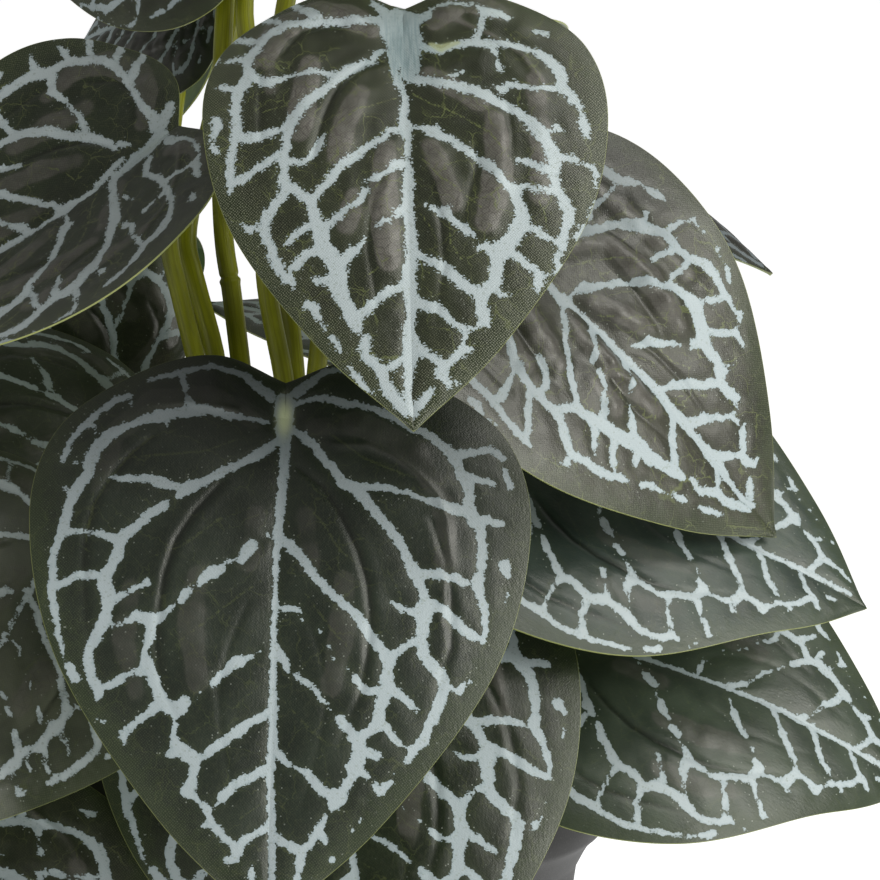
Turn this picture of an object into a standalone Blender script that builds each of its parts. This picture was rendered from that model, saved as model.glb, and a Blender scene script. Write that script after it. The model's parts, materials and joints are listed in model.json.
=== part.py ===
"""A potted house plant with large heart-shaped blades on long bare petioles.

Metres, +Z up. The origin is the middle of the pot's flat base, on the surface that it stands on.
Every leaf is two pieces: a thin woven blade and the moulded petiole that carries it, which runs on
under the blade's midrib as a tapering rib. The petioles stand in plain holes in the fill of the pot.
"""
import math
import random
from collections import namedtuple

import bmesh
import bpy
from mathutils import Matrix, Vector
from mathutils.geometry import delaunay_2d_cdt

MM = 0.001
GAP = 0.3 * MM                  # clearance between pieces that touch

POT_HEIGHT = 152 * MM
RIM_RADIUS = 87 * MM
RIM_DEPTH = 11 * MM             # height of the rim's outer face
WALL_TOP_RADIUS = 79 * MM       # outer wall just under the rim
BASE_RADIUS = 60 * MM
FLARE_DEPTH = 11 * MM           # height of the slope from wall to rim
LIP_INNER_RADIUS = 75 * MM
FLOOR_THICKNESS = 6 * MM
FLOOR_INNER_RADIUS = 56 * MM
EDGE_ROUND = 2 * MM
POT_SIDES = 48

FILL_TOP = 136 * MM
FILL_LUMP = 1.2 * MM            # how far the fill's surface rises or falls
HOLE_DEPTH = 18 * MM
HOLE_SIDES = 8
LUMP_RINGS = ((36 * MM, 14), (50 * MM, 20), (63 * MM, 26))

PETIOLE_BASE_RADIUS = 3.1 * MM
PETIOLE_TOP_RADIUS = 2.5 * MM
RIB_END_RADIUS = 0.9 * MM
RIB_END = 0.62                  # share of the blade's length that the rib reaches
PETIOLE_SIDES = 6
PETIOLE_STEP = 20 * MM          # greatest distance between two rings of a petiole
STRAIGHT_BASE = 5 * MM          # upright stretch above the fill

BLADE_THICKNESS = 0.8 * MM
ROWS = 12                       # rows of the blade from the notch round to the tip
COLUMNS = 3                     # columns from the midrib to the margin
FAN_SHARE = 3 / 7               # share of the rows that spread from the junction over the lobe
ROW_SWEEP = 1.5                 # how strongly the later rows lean towards the tip
PUFF = 0.016                    # rise of each half between midrib and margin
WAVE = 0.010                    # wave of the margin
WAVE_COUNT = 2.3                # waves along one side

# Half of the blade's outline: across and along, in blade lengths from the junction to the tip.
HALF_OUTLINE = ((0, -0.075), (0.14, -0.127), (0.30, -0.085), (0.45, 0.03),
                (0.498, 0.22), (0.43, 0.50), (0.22, 0.80), (0, 1))

# The holes in the fill: three rings round the middle, numbered anticlockwise.
HOLE_RINGS = {"inner": (8 * MM, 45, 90), "middle": (17 * MM, 0, 45), "outer": (27 * MM, 15, 30)}

# Junction in mm; heading, droop and roll in degrees; blade length in mm; width, arch and cup in
# blade lengths; the hole; the petiole's way points in mm; how far behind the blade it turns to it.
Leaf = namedtuple("Leaf", "name x y z heading droop roll length width arch cup ring hole way neck",
                  defaults=(15,))

LEAVES = (
    Leaf("front_low", -3.2, -100, 273.8, -94, 66, -6, 140, 0.97, 0.03, 0.10, "outer", 8,
         ((-6, -28, 200), (-5, -44, 246))),
    Leaf("front_high", 29, -80, 376, -87, 60, 2, 116, 0.95, 0.03, 0.10, "middle", 6,
         ((4, -22, 279), (19, -46, 343))),
    Leaf("right_high", 53, -48, 318.8, 9, 47, 60, 120, 0.90, 0.05, -0.16, "middle", 7,
         ((30, -22, 240),)),
    Leaf("right_middle", 53, -34, 257.3, 1.5, 24, 44, 117.5, 1.03, 0.05, 0.01, "outer", 11,
         ((38, -14, 210),)),
    Leaf("right_low", 68, -22, 201, 3, 24, 46, 117, 1.04, 0.10, 0.15, "outer", 10,
         ((42, -16, 172),)),
    Leaf("front_under", 6, -58, 216.7, -76, 59, 16, 140, 0.98, 0.03, 0.25, "outer", 9,
         ((9, -28, 180),)),
    Leaf("left_high", -42, -30, 341.5, -169, 27, -28.5, 124, 0.95, -0.06, -0.43, "inner", 2,
         ((-19, -20, 222), (-31, -19, 281), (-38, -20, 312))),
    Leaf("left_middle", -49, -1, 255, -145, 14, -45, 110, 0.95, 0.04, 0.12, "middle", 5,
         ((-34, -4, 215),)),
    Leaf("left_low", -65, -62, 238.3, -121, 42, -41, 112, 0.97, 0.04, 0.10, "outer", 7,
         ((-46, -30, 166), (-66, -60, 190), (-69, -68, 214)), 8),
    Leaf("left_foot", -98, -78, 162, -100, 72, -8, 120, 0.97, 0.04, 0.12, "outer", 6,
         ((-50, -12, 164), (-78, -46, 181)), 12),
    Leaf("left_rear", -54, 26, 266, 165, -20, -60, 95, 0.95, 0.04, 0.12, "outer", 5,
         ((-34, 16, 225),)),
    Leaf("top_left", -20, 0, 415, 138, 10, -68, 90, 0.95, 0.04, 0.12, "inner", 0,
         ((-3, 2, 274), (-6, 2, 297), (-17, 1, 381))),
    Leaf("top_left_rear", -28, 30, 381, 131, 16, -66, 64, 0.95, 0.04, 0.12, "middle", 4,
         ((-26, -4, 280), (-34, 4, 312)), 10),
    Leaf("rear_high", -29, 80, 377, 130, 25, 114, 80, 0.95, 0.04, 0.12, "middle", 3,
         ((-27, 18, 277), (-38, 28, 300), (-41, 50, 334)), 7),
    Leaf("rear_left", -76, 72, 306, 110, 45, 0, 105, 0.95, 0.04, 0.12, "outer", 3,
         ((-40, 46, 220), (-62, 58, 268))),
    Leaf("rear_level", 71, 66, 262, 173, -12, -7, 108, 0.95, 0.02, 0.05, "middle", 2,
         ((16, 40, 190), (48, 58, 228)), 8),
    Leaf("right_rear", 49, 60, 349, 0, 31, 6, 104, 0.95, 0.03, 0.12, "middle", 0,
         ((42, 2, 235), (53, 6, 276), (48, 34, 318))),
    Leaf("top_rear", 0, 52, 468, 70, 30, 0, 108, 0.95, 0.04, 0.12, "inner", 1,
         ((-19, 3, 278), (-24, 6, 320), (-23, 7, 378), (-17, 22, 425))),
    Leaf("top_front", 20, -20, 470, -60, 28, 10, 108, 0.95, 0.04, 0.12, "inner", 3,
         ((-6, -14, 275), (-11, -16, 307), (-4, -18, 385))),
    Leaf("back_right", 84, 66, 205, 30, 34, 10, 118, 1.00, 0.04, 0.12, "outer", 1,
         ((46, 40, 176),)),
    Leaf("back_middle", 8, 84, 240, 92, 36, 0, 122, 1.00, 0.04, 0.12, "outer", 2,
         ((8, 52, 186),)),
    Leaf("back_left", -66, 62, 196, 142, 34, -10, 120, 1.00, 0.04, 0.12, "outer", 4,
         ((-40, 38, 172),)),
    Leaf("back_high", 32, 52, 374, 84, 14, 0, 92, 0.95, 0.04, 0.12, "middle", 1,
         ((20, 4, 245), (22, 6, 300), (25, 26, 340))),
)


def clear_scene():
    for old in list(bpy.data.objects):
        bpy.data.objects.remove(old, do_unlink=True)


def material(name, colour, roughness):
    made = bpy.data.materials.new(name)
    made.use_nodes = True
    shader = made.node_tree.nodes["Principled BSDF"]
    shader.inputs["Base Color"].default_value = (*colour, 1)
    shader.inputs["Roughness"].default_value = roughness
    shader.inputs["Metallic"].default_value = 0
    return made


def add_object(name, mesh_data, finish, smooth_angle=None):
    """Turn a bmesh into an object with one material."""
    bmesh.ops.recalc_face_normals(mesh_data, faces=mesh_data.faces)
    mesh = bpy.data.meshes.new(name)
    mesh_data.to_mesh(mesh)
    mesh_data.free()
    if smooth_angle is not None:
        mesh.shade_smooth()
        mesh.set_sharp_from_angle(angle=math.radians(smooth_angle))
    mesh.materials.append(finish)
    made = bpy.data.objects.new(name, mesh)
    bpy.context.scene.collection.objects.link(made)
    return made


def smooth_curve(points, place):
    """Point on the smooth curve through the points; place counts the points from 0."""
    index = min(int(place), len(points) - 2)
    share = place - index
    before = points[index - 1] if index else points[0] * 2 - points[1]
    start, end = points[index], points[index + 1]
    after = points[index + 2] if index + 2 < len(points) else points[-1] * 2 - points[-2]
    return 0.5 * (2 * start + (end - before) * share
                  + (2 * before - 5 * start + 4 * end - after) * share ** 2
                  + (3 * start - before - 3 * end + after) * share ** 3)


OUTLINE_POINTS = [Vector((across, along, 0)) for across, along in HALF_OUTLINE]


def outline(row_share):
    """Margin of the right half, from the notch (0) to the tip (1)."""
    return smooth_curve(OUTLINE_POINTS, row_share * (len(OUTLINE_POINTS) - 1))


def midrib(row_share):
    """Where a row starts on the midrib, in blade lengths from the junction."""
    if row_share <= FAN_SHARE:
        return 0.0
    return ((row_share - FAN_SHARE) / (1 - FAN_SHARE)) ** ROW_SWEEP


def blade_point(leaf, side, row_share, column_share):
    """Point of the blade's middle surface, in the blade's own frame in metres."""
    start, end = Vector((0, midrib(row_share), 0)), outline(row_share)
    flat = start.lerp(end, column_share)
    across, along = side * flat.x, flat.y
    height = (leaf.arch * 4 * along * (1 - along) - leaf.cup * across ** 2
              + PUFF * math.sin(math.pi * column_share) * math.sin(math.pi * row_share) ** 0.5
              + WAVE * column_share ** 3 * math.sin(math.pi * row_share)
              * math.sin(2 * math.pi * WAVE_COUNT * row_share + side + leaf.heading))
    return Vector((along, across * leaf.width, height)) * leaf.length * MM


def blade_frame(leaf):
    """Places the blade: +X along the midrib, +Y across, +Z out of the printed face."""
    turn = (Matrix.Rotation(math.radians(leaf.heading), 4, "Z")
            @ Matrix.Rotation(math.radians(leaf.droop), 4, "Y")
            @ Matrix.Rotation(math.radians(leaf.roll), 4, "X"))
    return Matrix.Translation(Vector((leaf.x, leaf.y, leaf.z)) * MM) @ turn


def blade_surface(leaf):
    """Triangles of the blade's middle surface, before it gets its thickness."""
    surface = bmesh.new()
    ribs = {row: surface.verts.new(blade_point(leaf, 1, row / ROWS, 0))
            for row in range(ROWS + 1) if row == 0 or row / ROWS > FAN_SHARE}
    notch = {column: surface.verts.new(blade_point(leaf, 1, 0, column / COLUMNS))
             for column in range(1, COLUMNS + 1)}
    for side in (1, -1):
        def corner(row, column):
            if column == 0 or row == ROWS:
                return ribs[row] if row in ribs else ribs[0]
            return grid[row, column] if row else notch[column]

        grid = {(row, column): surface.verts.new(blade_point(leaf, side, row / ROWS, column / COLUMNS))
                for row in range(1, ROWS) for column in range(1, COLUMNS + 1)}
        for row in range(ROWS):
            for column in range(COLUMNS):
                loop = [corner(row, column), corner(row, column + 1),
                        corner(row + 1, column + 1), corner(row + 1, column)]
                loop = list(dict.fromkeys(loop))
                for start in range(1, len(loop) - 1):
                    surface.faces.new((loop[0], loop[start], loop[start + 1]))
    bmesh.ops.recalc_face_normals(surface, faces=surface.faces)
    surface.normal_update()
    if sum(face.normal.z for face in surface.faces) < 0:
        bmesh.ops.reverse_faces(surface, faces=surface.faces)
        surface.normal_update()
    return surface


def thicken(surface, thickness):
    """Solid of even thickness whose two faces are split into triangles alike."""
    solid = bmesh.new()
    surface.verts.index_update()
    top = [solid.verts.new(vert.co + vert.normal * thickness / 2) for vert in surface.verts]
    under = [solid.verts.new(vert.co - vert.normal * thickness / 2) for vert in surface.verts]
    for face in surface.faces:
        corners = [vert.index for vert in face.verts]
        solid.faces.new([top[index] for index in corners])
        solid.faces.new([under[index] for index in reversed(corners)])
    for edge in surface.edges:
        if edge.is_boundary:
            first, last = (vert.index for vert in edge.verts)
            solid.faces.new((top[first], under[first], under[last]))
            solid.faces.new((top[first], under[last], top[last]))
    surface.free()
    return solid


def blade(leaf, finish):
    solid = thicken(blade_surface(leaf), BLADE_THICKNESS)
    solid.transform(blade_frame(leaf))
    return add_object("blade_" + leaf.name, solid, finish, 40)


def hole_centre(leaf):
    radius, first, step = HOLE_RINGS[leaf.ring]
    angle = math.radians(first + step * leaf.hole)
    return Vector((radius * math.cos(angle), radius * math.sin(angle), 0))


def midrib_point(leaf, along):
    """Point of the bent midrib, in the blade's frame."""
    return Vector((along, 0, leaf.arch * 4 * along * (1 - along))) * leaf.length * MM


def petiole_path(leaf):
    """Centre line and radii: up from the hole, through its way points, then along under the midrib."""
    frame = blade_frame(leaf)
    foot = hole_centre(leaf)
    route = [foot + Vector((0, 0, FILL_TOP + STRAIGHT_BASE))]
    route += [Vector(point) * MM for point in leaf.way]
    route.append(frame @ Vector((0, 0, -leaf.neck * MM)))
    drop = BLADE_THICKNESS / 2 + GAP
    route.append(frame @ (midrib_point(leaf, 0.03) - Vector((0, 0, drop + PETIOLE_TOP_RADIUS * 1.3))))
    centres = [foot + Vector((0, 0, FILL_TOP - HOLE_DEPTH))]
    for leg in range(len(route) - 1):
        steps = max(2, math.ceil((route[leg + 1] - route[leg]).length / PETIOLE_STEP))
        if leg == len(route) - 2:
            steps = 3
        centres += [smooth_curve(route, leg + step / steps) for step in range(steps)]
    radii = [PETIOLE_BASE_RADIUS + (PETIOLE_TOP_RADIUS - PETIOLE_BASE_RADIUS) * index / (len(centres) - 1)
             for index in range(len(centres))]
    radii[1] = PETIOLE_BASE_RADIUS
    for row in range(ROWS + 1):
        along = midrib(row / ROWS)
        if 0 < along < RIB_END:
            radius = PETIOLE_TOP_RADIUS + (RIB_END_RADIUS - PETIOLE_TOP_RADIUS) * along / RIB_END
            slope = Vector((1, 0, leaf.arch * 4 * (1 - 2 * along))).normalized()
            inward = Vector((-slope.z, 0, slope.x)) * (drop + radius)
            centres.append(frame @ (midrib_point(leaf, along) - inward))
            radii.append(radius)
    return centres, radii


def petiole(leaf, finish):
    """A round bar swept along its centre line, with flat ends."""
    centres, radii = petiole_path(leaf)
    tube = bmesh.new()
    across = Vector((1, 0, 0))
    last_ring = None
    for index, (centre, radius) in enumerate(zip(centres, radii)):
        ahead = centres[min(index + 1, len(centres) - 1)] - centres[max(index - 1, 0)]
        if index <= 1:
            ahead = Vector((0, 0, 1))
        ahead.normalize()
        across = (across - ahead * across.dot(ahead)).normalized()
        upward = ahead.cross(across)
        ring = [tube.verts.new(centre + (across * math.cos(turn) + upward * math.sin(turn)) * radius)
                for turn in (2 * math.pi * side / PETIOLE_SIDES for side in range(PETIOLE_SIDES))]
        if last_ring:
            for side in range(PETIOLE_SIDES):
                follow = (side + 1) % PETIOLE_SIDES
                tube.faces.new((last_ring[side], last_ring[follow], ring[follow], ring[side]))
        else:
            tube.faces.new(ring[::-1])
        last_ring = ring
    tube.faces.new(last_ring)
    bmesh.ops.triangulate(tube, faces=tube.faces)
    return add_object("petiole_" + leaf.name, tube, finish, 60)


def inner_wall_radius(height):
    """Radius of the pot's inside at a height."""
    share = (height - FLOOR_THICKNESS) / (POT_HEIGHT - EDGE_ROUND - FLOOR_THICKNESS)
    return FLOOR_INNER_RADIUS + (LIP_INNER_RADIUS - FLOOR_INNER_RADIUS) * share


def turned(profile, sides):
    """Solid of revolution from a closed profile of radius and height, bottom centre to inner centre."""
    solid = bmesh.new()
    rings = []
    for radius, height in profile:
        if radius == 0:
            rings.append([solid.verts.new((0, 0, height))] * sides)
            continue
        rings.append([solid.verts.new((radius * math.cos(turn), radius * math.sin(turn), height))
                      for turn in (2 * math.pi * side / sides for side in range(sides))])
    for lower, upper in zip(rings, rings[1:]):
        for side in range(sides):
            follow = (side + 1) % sides
            loop = list(dict.fromkeys((lower[side], lower[follow], upper[follow], upper[side])))
            solid.faces.new(loop)
    return solid


def pot(finish):
    rim_base = POT_HEIGHT - RIM_DEPTH
    wall_top = rim_base - FLARE_DEPTH
    profile = ((0, 0), (BASE_RADIUS - EDGE_ROUND, 0), (BASE_RADIUS, EDGE_ROUND),
               (WALL_TOP_RADIUS, wall_top),
               ((WALL_TOP_RADIUS + RIM_RADIUS) / 2, wall_top + FLARE_DEPTH * 0.65),
               (RIM_RADIUS, rim_base),
               (RIM_RADIUS, POT_HEIGHT - EDGE_ROUND),
               (RIM_RADIUS - EDGE_ROUND, POT_HEIGHT),
               (LIP_INNER_RADIUS + EDGE_ROUND, POT_HEIGHT),
               (LIP_INNER_RADIUS, POT_HEIGHT - EDGE_ROUND),
               (FLOOR_INNER_RADIUS, FLOOR_THICKNESS), (0, FLOOR_THICKNESS))
    return add_object("pot", turned(profile, POT_SIDES), finish, 35)


def fill(finish):
    """Fill of the pot: an uneven top with a plain blind hole for every petiole."""
    draw = random.Random(7)
    hole_radius = (PETIOLE_BASE_RADIUS + GAP) / math.cos(math.pi / HOLE_SIDES)
    rim_radius = inner_wall_radius(FILL_TOP - FILL_LUMP) - GAP
    flat, heights, edges, holes = [], [], [], []

    def add_ring(centre, radius, count, height_of, closed):
        start = len(flat)
        for index in range(count):
            turn = 2 * math.pi * (index + (0 if closed else draw.random() * 0.6)) / count
            flat.append(Vector((centre.x + radius * math.cos(turn), centre.y + radius * math.sin(turn))))
            heights.append(height_of())
        if closed:
            edges.extend((start + index, start + (index + 1) % count) for index in range(count))
        return list(range(start, start + count))

    middle = Vector((0, 0, 0))
    outer = add_ring(middle, rim_radius, POT_SIDES, lambda: FILL_TOP - FILL_LUMP, True)
    for radius, count in LUMP_RINGS:
        add_ring(middle, radius, count, lambda: FILL_TOP + draw.uniform(-FILL_LUMP, FILL_LUMP), False)
    for leaf in LEAVES:
        holes.append(add_ring(hole_centre(leaf), hole_radius, HOLE_SIDES, lambda: FILL_TOP, True))
    triangles = delaunay_2d_cdt(flat, edges, [], 0, 1e-6)[2]
    solid = bmesh.new()
    top = [solid.verts.new((point.x, point.y, height)) for point, height in zip(flat, heights)]
    hole_sets = [set(loop) for loop in holes]
    for corners in triangles:
        if not any(loop.issuperset(corners) for loop in hole_sets):
            solid.faces.new([top[index] for index in corners])
    for loop in holes:
        deep = [solid.verts.new(top[index].co - Vector((0, 0, HOLE_DEPTH + GAP))) for index in loop]
        for index in range(HOLE_SIDES):
            follow = (index + 1) % HOLE_SIDES
            solid.faces.new((top[loop[index]], deep[index], deep[follow], top[loop[follow]]))
        solid.faces.new(deep)
    floor_height = FLOOR_THICKNESS + GAP
    floor_scale = (inner_wall_radius(floor_height) - GAP) / rim_radius
    low = [solid.verts.new((top[index].co.x * floor_scale, top[index].co.y * floor_scale, floor_height))
           for index in outer]
    for index in range(POT_SIDES):
        follow = (index + 1) % POT_SIDES
        solid.faces.new((top[outer[index]], top[outer[follow]], low[follow], low[index]))
    solid.faces.new(low)
    bmesh.ops.triangulate(solid, faces=solid.faces)
    return add_object("fill", solid, finish, 40)


def main():
    clear_scene()
    fabric = material("woven_blade", (0.035, 0.042, 0.030), 0.5)
    stem = material("moulded_petiole", (0.12, 0.13, 0.015), 0.45)
    clay = material("plain_pot", (0.075, 0.070, 0.066), 0.75)
    coir = material("coir_fill", (0.060, 0.038, 0.022), 0.95)
    for leaf in LEAVES:
        blade(leaf, fabric)
        petiole(leaf, stem)
    pot(clay)
    fill(coir)


main()
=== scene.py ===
"""Looks of the potted plant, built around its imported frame.

Every blade node is replaced by a finer printed, woven and embossed blade of the same form, every
petiole node by a smooth round stalk on the same path, and the pot by a smoothly turned one.
"""
import functools
import json
import math
import random
from collections import namedtuple

import bmesh
import bpy
import numpy as np
from mathutils import Matrix, Vector, noise

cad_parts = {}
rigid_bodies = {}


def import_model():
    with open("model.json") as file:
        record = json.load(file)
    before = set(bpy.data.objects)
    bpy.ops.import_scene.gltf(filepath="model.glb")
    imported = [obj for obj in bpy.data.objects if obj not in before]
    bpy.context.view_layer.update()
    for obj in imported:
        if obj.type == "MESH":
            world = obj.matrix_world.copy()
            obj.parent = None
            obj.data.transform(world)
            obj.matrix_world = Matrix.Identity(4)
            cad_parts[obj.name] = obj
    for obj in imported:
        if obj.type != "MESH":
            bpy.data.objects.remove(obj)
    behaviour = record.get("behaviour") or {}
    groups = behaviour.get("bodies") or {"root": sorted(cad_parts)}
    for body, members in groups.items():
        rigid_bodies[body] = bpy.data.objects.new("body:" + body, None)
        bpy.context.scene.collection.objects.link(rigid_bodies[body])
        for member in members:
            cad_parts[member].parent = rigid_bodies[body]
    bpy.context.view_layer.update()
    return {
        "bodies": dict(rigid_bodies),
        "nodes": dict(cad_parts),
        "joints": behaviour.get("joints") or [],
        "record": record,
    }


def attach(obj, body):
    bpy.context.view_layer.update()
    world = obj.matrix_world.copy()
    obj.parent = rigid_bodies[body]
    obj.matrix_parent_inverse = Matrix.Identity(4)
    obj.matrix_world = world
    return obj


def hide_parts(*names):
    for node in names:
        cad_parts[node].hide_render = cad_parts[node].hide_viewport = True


MM = 0.001
GAP = 0.3                       # mm between a blade and the rib under it

# The pot, in mm.
POT_HEIGHT = 152
RIM_RADIUS = 87
RIM_DEPTH = 11
WALL_TOP_RADIUS = 79
BASE_RADIUS = 60
FLARE_DEPTH = 11
LIP_INNER_RADIUS = 75
FLOOR_THICKNESS = 6
FLOOR_INNER_RADIUS = 56
FOOT_ROUND = 2
LIP_ROUND = 2.2
POT_SIDES = 160
FILL_TOP = 136
HOLE_DEPTH = 18

# The petioles, in mm.
PETIOLE_BASE_RADIUS = 3.1
PETIOLE_TOP_RADIUS = 2.5
RIB_END_RADIUS = 0.9
TIP_ROUNDING = 0.6              # share of the radius that the end stands out
RIB_END = 0.62
PETIOLE_STEP = 20
STRAIGHT_BASE = 5
PETIOLE_SIDES = 16
PETIOLE_FINER = 4               # rings between two rings of the frame's petiole

# The blades. Shares are of the blade's length where no unit is given.
BLADE_THICKNESS = 0.8
MARGIN_THICKNESS = 0.5
ROWS = 12                       # of the frame's blade
FAN_SHARE = 3 / 7
LOBE_ROW_SHARE = 0.34           # of the rows, for the lobe behind the junction
ROW_SWEEP = 1.5
PUFF = 0.016
WAVE = 0.010
WAVE_COUNT = 2.3
HALF_OUTLINE = ((0, -0.075), (0.14, -0.127), (0.30, -0.085), (0.45, 0.03),
                (0.498, 0.22), (0.43, 0.50), (0.22, 0.80), (0, 1))
HOLE_RINGS = {"inner": (8, 45, 90), "middle": (17, 0, 45), "outer": (27, 15, 30)}

# A leaf: where its junction is, in mm; which way its midrib points, how far it droops and rolls, in
# degrees; its length in mm and the share that widens, arches and cups it; the ring and number of its
# hole, the places in mm that its petiole runs through, and the straight neck before the blade.
Leaf = namedtuple("Leaf", "name x y z heading droop roll length width arch cup ring hole way neck",
                  defaults=(15,))
LEAVES = (
    Leaf("front_low", -3.2, -100, 273.8, -94, 66, -6, 140, 0.97, 0.03, 0.10, "outer", 8,
         ((-6, -28, 200), (-5, -44, 246))),
    Leaf("front_high", 29, -80, 376, -87, 60, 2, 116, 0.95, 0.03, 0.10, "middle", 6,
         ((4, -22, 279), (19, -46, 343))),
    Leaf("right_high", 53, -48, 318.8, 9, 47, 60, 120, 0.90, 0.05, -0.16, "middle", 7,
         ((30, -22, 240),)),
    Leaf("right_middle", 53, -34, 257.3, 1.5, 24, 44, 117.5, 1.03, 0.05, 0.01, "outer", 11,
         ((38, -14, 210),)),
    Leaf("right_low", 68, -22, 201, 3, 24, 46, 117, 1.04, 0.10, 0.15, "outer", 10,
         ((42, -16, 172),)),
    Leaf("front_under", 6, -58, 216.7, -76, 59, 16, 140, 0.98, 0.03, 0.25, "outer", 9,
         ((9, -28, 180),)),
    Leaf("left_high", -42, -30, 341.5, -169, 27, -28.5, 124, 0.95, -0.06, -0.43, "inner", 2,
         ((-19, -20, 222), (-31, -19, 281), (-38, -20, 312))),
    Leaf("left_middle", -49, -1, 255, -145, 14, -45, 110, 0.95, 0.04, 0.12, "middle", 5,
         ((-34, -4, 215),)),
    Leaf("left_low", -65, -62, 238.3, -121, 42, -41, 112, 0.97, 0.04, 0.10, "outer", 7,
         ((-46, -30, 166), (-66, -60, 190), (-69, -68, 214)), 8),
    Leaf("left_foot", -98, -78, 162, -100, 72, -8, 120, 0.97, 0.04, 0.12, "outer", 6,
         ((-50, -12, 164), (-78, -46, 181)), 12),
    Leaf("left_rear", -54, 26, 266, 165, -20, -60, 95, 0.95, 0.04, 0.12, "outer", 5,
         ((-34, 16, 225),)),
    Leaf("top_left", -20, 0, 415, 138, 10, -68, 90, 0.95, 0.04, 0.12, "inner", 0,
         ((-3, 2, 274), (-6, 2, 297), (-17, 1, 381))),
    Leaf("top_left_rear", -28, 30, 381, 131, 16, -66, 64, 0.95, 0.04, 0.12, "middle", 4,
         ((-26, -4, 280), (-34, 4, 312)), 10),
    Leaf("rear_high", -29, 80, 377, 130, 25, 114, 80, 0.95, 0.04, 0.12, "middle", 3,
         ((-27, 18, 277), (-38, 28, 300), (-41, 50, 334)), 7),
    Leaf("rear_left", -76, 72, 306, 110, 45, 0, 105, 0.95, 0.04, 0.12, "outer", 3,
         ((-40, 46, 220), (-62, 58, 268))),
    Leaf("rear_level", 71, 66, 262, 173, -12, -7, 108, 0.95, 0.02, 0.05, "middle", 2,
         ((16, 40, 190), (48, 58, 228)), 8),
    Leaf("right_rear", 49, 60, 349, 0, 31, 6, 104, 0.95, 0.03, 0.12, "middle", 0,
         ((42, 2, 235), (53, 6, 276), (48, 34, 318))),
    Leaf("top_rear", 0, 52, 468, 70, 30, 0, 108, 0.95, 0.04, 0.12, "inner", 1,
         ((-19, 3, 278), (-24, 6, 320), (-23, 7, 378), (-17, 22, 425))),
    Leaf("top_front", 20, -20, 470, -60, 28, 10, 108, 0.95, 0.04, 0.12, "inner", 3,
         ((-6, -14, 275), (-11, -16, 307), (-4, -18, 385))),
    Leaf("back_right", 84, 66, 205, 30, 34, 10, 118, 1.00, 0.04, 0.12, "outer", 1,
         ((46, 40, 176),)),
    Leaf("back_middle", 8, 84, 240, 92, 36, 0, 122, 1.00, 0.04, 0.12, "outer", 2,
         ((8, 52, 186),)),
    Leaf("back_left", -66, 62, 196, 142, 34, -10, 120, 1.00, 0.04, 0.12, "outer", 4,
         ((-40, 38, 172),)),
    Leaf("back_high", 32, 52, 374, 84, 14, 0, 92, 0.95, 0.04, 0.12, "middle", 1,
         ((20, 4, 245), (22, 6, 300), (25, 26, 340))),
)

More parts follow.
